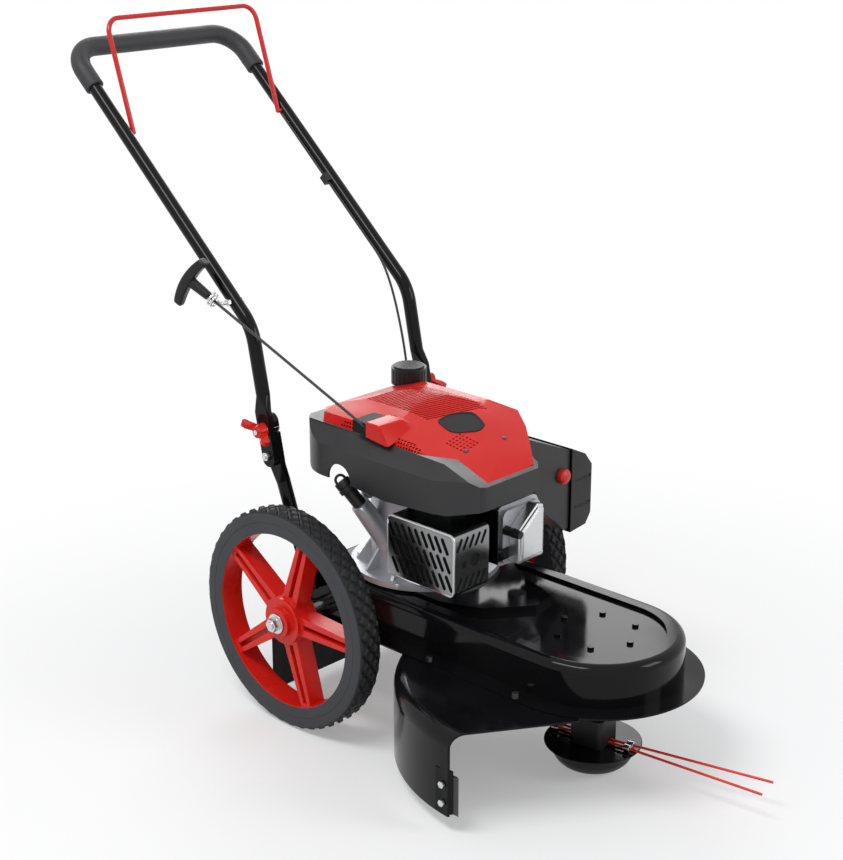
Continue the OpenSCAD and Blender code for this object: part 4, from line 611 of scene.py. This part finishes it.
# Places across the machine, and how far the cowl's top has come down to the cover there
cowl_stations = ((-0.1252, 0.0), (-0.100, 0.0), (-0.0735, 0.0), (-0.058, 1.0))
bm = bmesh.new()
rings = []
for y, down in cowl_stations:
    ring = [on_hood(x, y, -cowl_sunk) for x in (cowl_back, cowl_front, cowl_foot)]
    for point in ring[:2]:
        point.z += (1.0 - down) * (cowl_top + seat_z - point.z)
    rings.append([bm.verts.new(point) for point in ring])
for a, b in zip(rings, rings[1:]):
    for k in range(2):
        bm.faces.new((a[k], a[k + 1], b[k + 1], b[k]))
cheek_foot = bm.verts.new((cowl_back + crank_x, cowl_stations[0][0], cheek_low + seat_z))
bm.faces.new((rings[0][0], cheek_foot, rings[0][2], rings[0][1]))
for face in bm.faces:
    face.smooth = True
cowl = built("outlet_cowl", bm)
soften = cowl.modifiers.new("soften", "BEVEL")
soften.width, soften.segments, soften.angle_limit = cowl_round, cowl_rounds, cowl_angle
wall = cowl.modifiers.new("wall", "SOLIDIFY")
wall.thickness, wall.offset, wall.use_even_offset = cowl_wall, -1.0, True
cowl.modifiers.new("shade", "WEIGHTED_NORMAL")
cowl.data.materials.append(red_plastic)
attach(cowl, "chassis")

# Handle: bent steel tube in the deck's black paint, in one piece from arm to arm.
# It is clamped to two lower tubes by bolts with red wing knobs, and folds about them.
dress(black_paint, "lower_tube_left", "lower_tube_right", "upper_handle")
dress(bright_steel, "clamp_bolts", edge=0.0004)
dress(red_plastic, "wing_knob_left", "wing_knob_right", edge=0.0012)

# Foam grip: a sleeve of closed-cell foam pushed over the crossbar and a hand's width of each arm.
# Its skin is smooth with fine pores, and its ends are cut square with softened rims.
grip_foam = surface("grip_foam", (0.018, 0.018, 0.020), (0.034, 0.034, 0.037), scale=1400.0,
                    gloss=(0.42, 0.58), depth=0.0003, Specular_IOR_Level=0.4)
grip_d, corner_r, grip_leg, grip_sides = 0.031, 0.048, 0.084, 40
leg_steps, turn_steps, bar_points = 5, 14, 10
rim_steps, rim_scales = (0.0, 0.0005, 0.0016), {0: 0.90, 1: 0.96, -1: 0.90, -2: 0.96}
corner_at, corner_y = arm_len - corner_r, handle_half - corner_r
leg_step = (grip_leg - corner_r) / leg_steps
half_way = [on_arm(arm_len - grip_leg + k * leg_step, handle_half) for k in range(leg_steps)]
for k in range(turn_steps + 1):
    a = math.pi / 2 * k / turn_steps
    half_way.append(on_arm(corner_at + corner_r * math.sin(a), corner_y + corner_r * math.cos(a)))
half_way += straight(half_way[-1], on_arm(arm_len, 0.0), bar_points)[1:]
lead = (half_way[1] - half_way[0]).normalized()
half_way = [half_way[0] + d * lead for d in rim_steps] + half_way[1:]
grip_path = half_way + [Vector((p.x, -p.y, p.z)) for p in reversed(half_way[:-1])]
foam = tube("foam_sleeve", grip_path, grip_d / 2, grip_sides, ends=rim_scales)
foam.data.materials.append(grip_foam)
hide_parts("foam_grip")
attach(foam, "handle")

# Bail: an 8 mm steel rod bent to a hoop and dipped in red paint.
# Its ends turn in the handle's arms, and the operator holds it down to keep the engine running.
red_paint = surface("red_paint", (0.50, 0.009, 0.007), (0.58, 0.013, 0.010), scale=700.0,
                    gloss=(0.14, 0.26), depth=0.00003, Specular_IOR_Level=0.4)
dress(red_paint, "bail")

# Rope guide: an eye of zinc-plated wire wound twice round the rope and welded to a stud.
# The stud goes through the right arm and is held there by two nuts.
wire_d, wire_sides, coil_r, coil_pitch, coil_turns, coil_steps = 0.004, 16, 0.009, 0.0055, 2, 72
stud_at, stud_out, stud_past, stud_d, stud_sides = 0.051, 0.025, 0.008, 0.006, 24
stud_edge, stud_tips = 0.0006, {0: 0.8, -1: 0.8}
nut_d, nut_h, nut_sides, nut_edge, nut_tips = 0.012, 0.006, 6, 0.0007, {0: 0.9, -1: 0.9}
weld_in, weld_out = Vector((0.0, 0.003, 0.0)), Vector((0.0, -0.001, 0.0))
stud_end = on_arm(stud_at, -handle_half - stud_out)
stud_way = stud_end - rope_eye
coil_u = (stud_way - stud_way.dot(rope_way) * rope_way).normalized()
coil_v = rope_way.cross(coil_u)
coil_path = [stud_end + weld_in, stud_end + weld_out]
for k in range(coil_steps + 1):
    a = 2 * math.pi * coil_turns * k / coil_steps
    rise = coil_pitch * coil_turns * (k / coil_steps - 0.5)
    coil_path.append(rope_eye + rise * rope_way + coil_r * (math.cos(a) * coil_u + math.sin(a) * coil_v))
guide_wire = tube("rope_eye", coil_path, wire_d / 2, wire_sides)
guide_wire.data.materials.append(bright_steel)
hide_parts("rope_guide")
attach(guide_wire, "handle")


def along_stud(start, length, edge):
    """Points across the right arm, from a distance along the stud, with one point just inside each end."""
    return [stud_end + Vector((0.0, start + d, 0.0)) for d in (0.0, edge, length - edge, length)]


stud_run = stud_out + handle_tube_d / 2 + stud_past
stud = tube("guide_stud", along_stud(0.0, stud_run, stud_edge), stud_d / 2, stud_sides, ends=stud_tips)
stud.data.materials.append(bright_steel)
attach(stud, "handle")
for word, start in (("outer", stud_out - handle_tube_d / 2 - nut_h), ("inner", stud_out + handle_tube_d / 2)):
    nut = tube("guide_nut_" + word, along_stud(start, nut_h, nut_edge), nut_d / 2, nut_sides, ends=nut_tips)
    nut.data.shade_flat()
    nut.data.materials.append(bright_steel)
    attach(nut, "handle")

# Starter handle: a moulded grip with a bowed, flat-sided crossbar on a tapered stem.
# The rope comes up through the stem and is knotted inside the bar.
stem_foot, stem_len, stem_r, stem_sides = 0.008, 0.048, 0.0085, 28
stem_rise = (stem_foot, stem_foot + 0.001, stem_foot + 0.003, stem_len - 0.006, stem_len)
stem_taper = {0: 0.70, 1: 0.80, 2: 0.83, 4: 1.15}
bar_half, bar_bow, bar_sunk, bar_steps, bar_sides, bar_square = 0.0425, 0.007, 0.002, 10, 32, 0.45
bar_deep, bar_wide, bar_thins, bar_narrows = 0.0085, 0.0105, 0.0015, 0.0020
# Place along the bar's half and share of its section, at one rounded end
bar_end = ((1.0, 0.55), (1.0, 0.8), (0.985, 0.93))
level = Vector((rope_way.x, rope_way.y, 0.0)).normalized()
bar_way = rope_way.z * level - Vector((0.0, 0.0, math.hypot(rope_way.x, rope_way.y)))
bar_out = rope_way.cross(bar_way)
bar_stations = [(-s, scale) for s, scale in bar_end]
bar_stations += [(k / bar_steps, 1.0) for k in range(1 - bar_steps, bar_steps)]
bar_stations += bar_end[::-1]
bar_outlines = []
for s, scale in bar_stations:
    middle = rope_eye + (stem_len + bar_sunk - bar_bow * s * s) * rope_way + s * bar_half * bar_way
    deep, wide = scale * (bar_deep - bar_thins * s * s), scale * (bar_wide - bar_narrows * s * s)
    outline = []
    for k in range(bar_sides):
        a = 2 * math.pi * k / bar_sides
        c, d = (math.copysign(abs(v) ** bar_square, v) for v in (math.cos(a), math.sin(a)))
        outline.append(middle + deep * c * rope_way + wide * d * bar_out)
    bar_outlines.append(outline)
starter_bar = lofted("starter_bar", bar_outlines, smooth=True)
stem_path = [rope_eye + d * rope_way for d in stem_rise]
starter_stem = tube("starter_stem", stem_path, stem_r, stem_sides, ends=stem_taper)
for piece in (starter_bar, starter_stem):
    piece.data.materials.append(tough_plastic)
    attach(piece, "pull_handle")
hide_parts("starter_grip")

# Cable clip: a small moulded saddle of black plastic.
# It snaps round the left arm and holds the brake cable to it.
dress(tough_plastic, "cable_bracket", edge=0.0006)

# Studio: a pale floor that keeps the machine's shadow and fades to white round it, and a white surround.
# Three soft lamps stand over the machine's right side, ahead of it and behind it.
floor_half, floor_pale = 14.0, (0.92, 0.92, 0.92, 1.0)
fade_middle, fade_near, fade_far, fade_least = (-0.25, 0.0, 0.0), 0.45, 1.3, 0.3
room_colour, room_strength = (0.95, 0.97, 1.0, 1.0), 0.45
lamps_aim = Vector((-0.35, 0.0, 0.35))
lamps = (("key", (-0.3, -1.6, 2.8), (1.8, 0.7), 46.0),
         ("fill", (2.4, 1.2, 1.8), (1.2, 1.2), 26.0),
         ("back", (-2.6, 2.2, 1.9), (2.0, 2.0), 36.0))


def seen(tree):
    """1 for rays from the camera, off gloss or through glass, which see white, and 0 for those that light."""
    path = tree.nodes.new("ShaderNodeLightPath")
    mirrored = reckon(tree, "MAXIMUM", path.outputs["Is Glossy Ray"], path.outputs["Is Transmission Ray"])
    return reckon(tree, "MAXIMUM", path.outputs["Is Camera Ray"], mirrored)


def shown_by(tree, share, first, second, output):
    """Sends a mix of two shaders to the tree's output."""
    mix = tree.nodes.new("ShaderNodeMixShader")
    for socket, source in zip(mix.inputs, (share, first, second)):
        tree.links.new(source, socket)
    tree.links.new(mix.outputs["Shader"], tree.nodes[output].inputs["Surface"])


floor_mesh = bpy.data.meshes.new("floor")
floor_corners = [(x * floor_half, y * floor_half, 0.0) for x, y in ((-1, -1), (1, -1), (1, 1), (-1, 1))]
floor_mesh.from_pydata(floor_corners, [], [(0, 1, 2, 3)])
floor = placed("floor", floor_mesh)
floor_paint = bpy.data.materials.new("floor_paint")
floor_paint.use_nodes = True
tree = floor_paint.node_tree
tree.nodes.remove(tree.nodes["Principled BSDF"])
matt = tree.nodes.new("ShaderNodeBsdfDiffuse")
matt.inputs["Color"].default_value = floor_pale
glow = tree.nodes.new("ShaderNodeEmission")
place = tree.nodes.new("ShaderNodeTexCoord")
reach = tree.nodes.new("ShaderNodeVectorMath")
reach.operation = "DISTANCE"
reach.inputs[1].default_value = fade_middle
fade = tree.nodes.new("ShaderNodeMapRange")
fade.interpolation_type = "SMOOTHSTEP"
fade.inputs["From Min"].default_value = fade_near
fade.inputs["From Max"].default_value = fade_far
fade.inputs["To Min"].default_value = fade_least
tree.links.new(place.outputs["Object"], reach.inputs[0])
tree.links.new(reach.outputs["Value"], fade.inputs["Value"])
white_share = reckon(tree, "MULTIPLY", fade.outputs["Result"], seen(tree))
shown_by(tree, white_share, matt.outputs["BSDF"], glow.outputs["Emission"], "Material Output")
floor_mesh.materials.append(floor_paint)

world = bpy.data.worlds.new("studio")
world.use_nodes = True
scene.world = world
tree = world.node_tree
room = tree.nodes["Background"]
room.inputs["Color"].default_value = room_colour
room.inputs["Strength"].default_value = room_strength
white = tree.nodes.new("ShaderNodeBackground")
white.inputs["Color"].default_value = (1.0, 1.0, 1.0, 1.0)
shown_by(tree, seen(tree), room.outputs["Background"], white.outputs["Background"], "World Output")

for name, place, size, power in lamps:
    lamp = placed(name, bpy.data.lights.new(name, "AREA"))
    lamp.data.shape = "RECTANGLE"
    lamp.data.size, lamp.data.size_y = size
    lamp.data.energy = power
    lamp.location = place
    lamp.rotation_euler = (lamps_aim - Vector(place)).to_track_quat("-Z", "Y").to_euler()
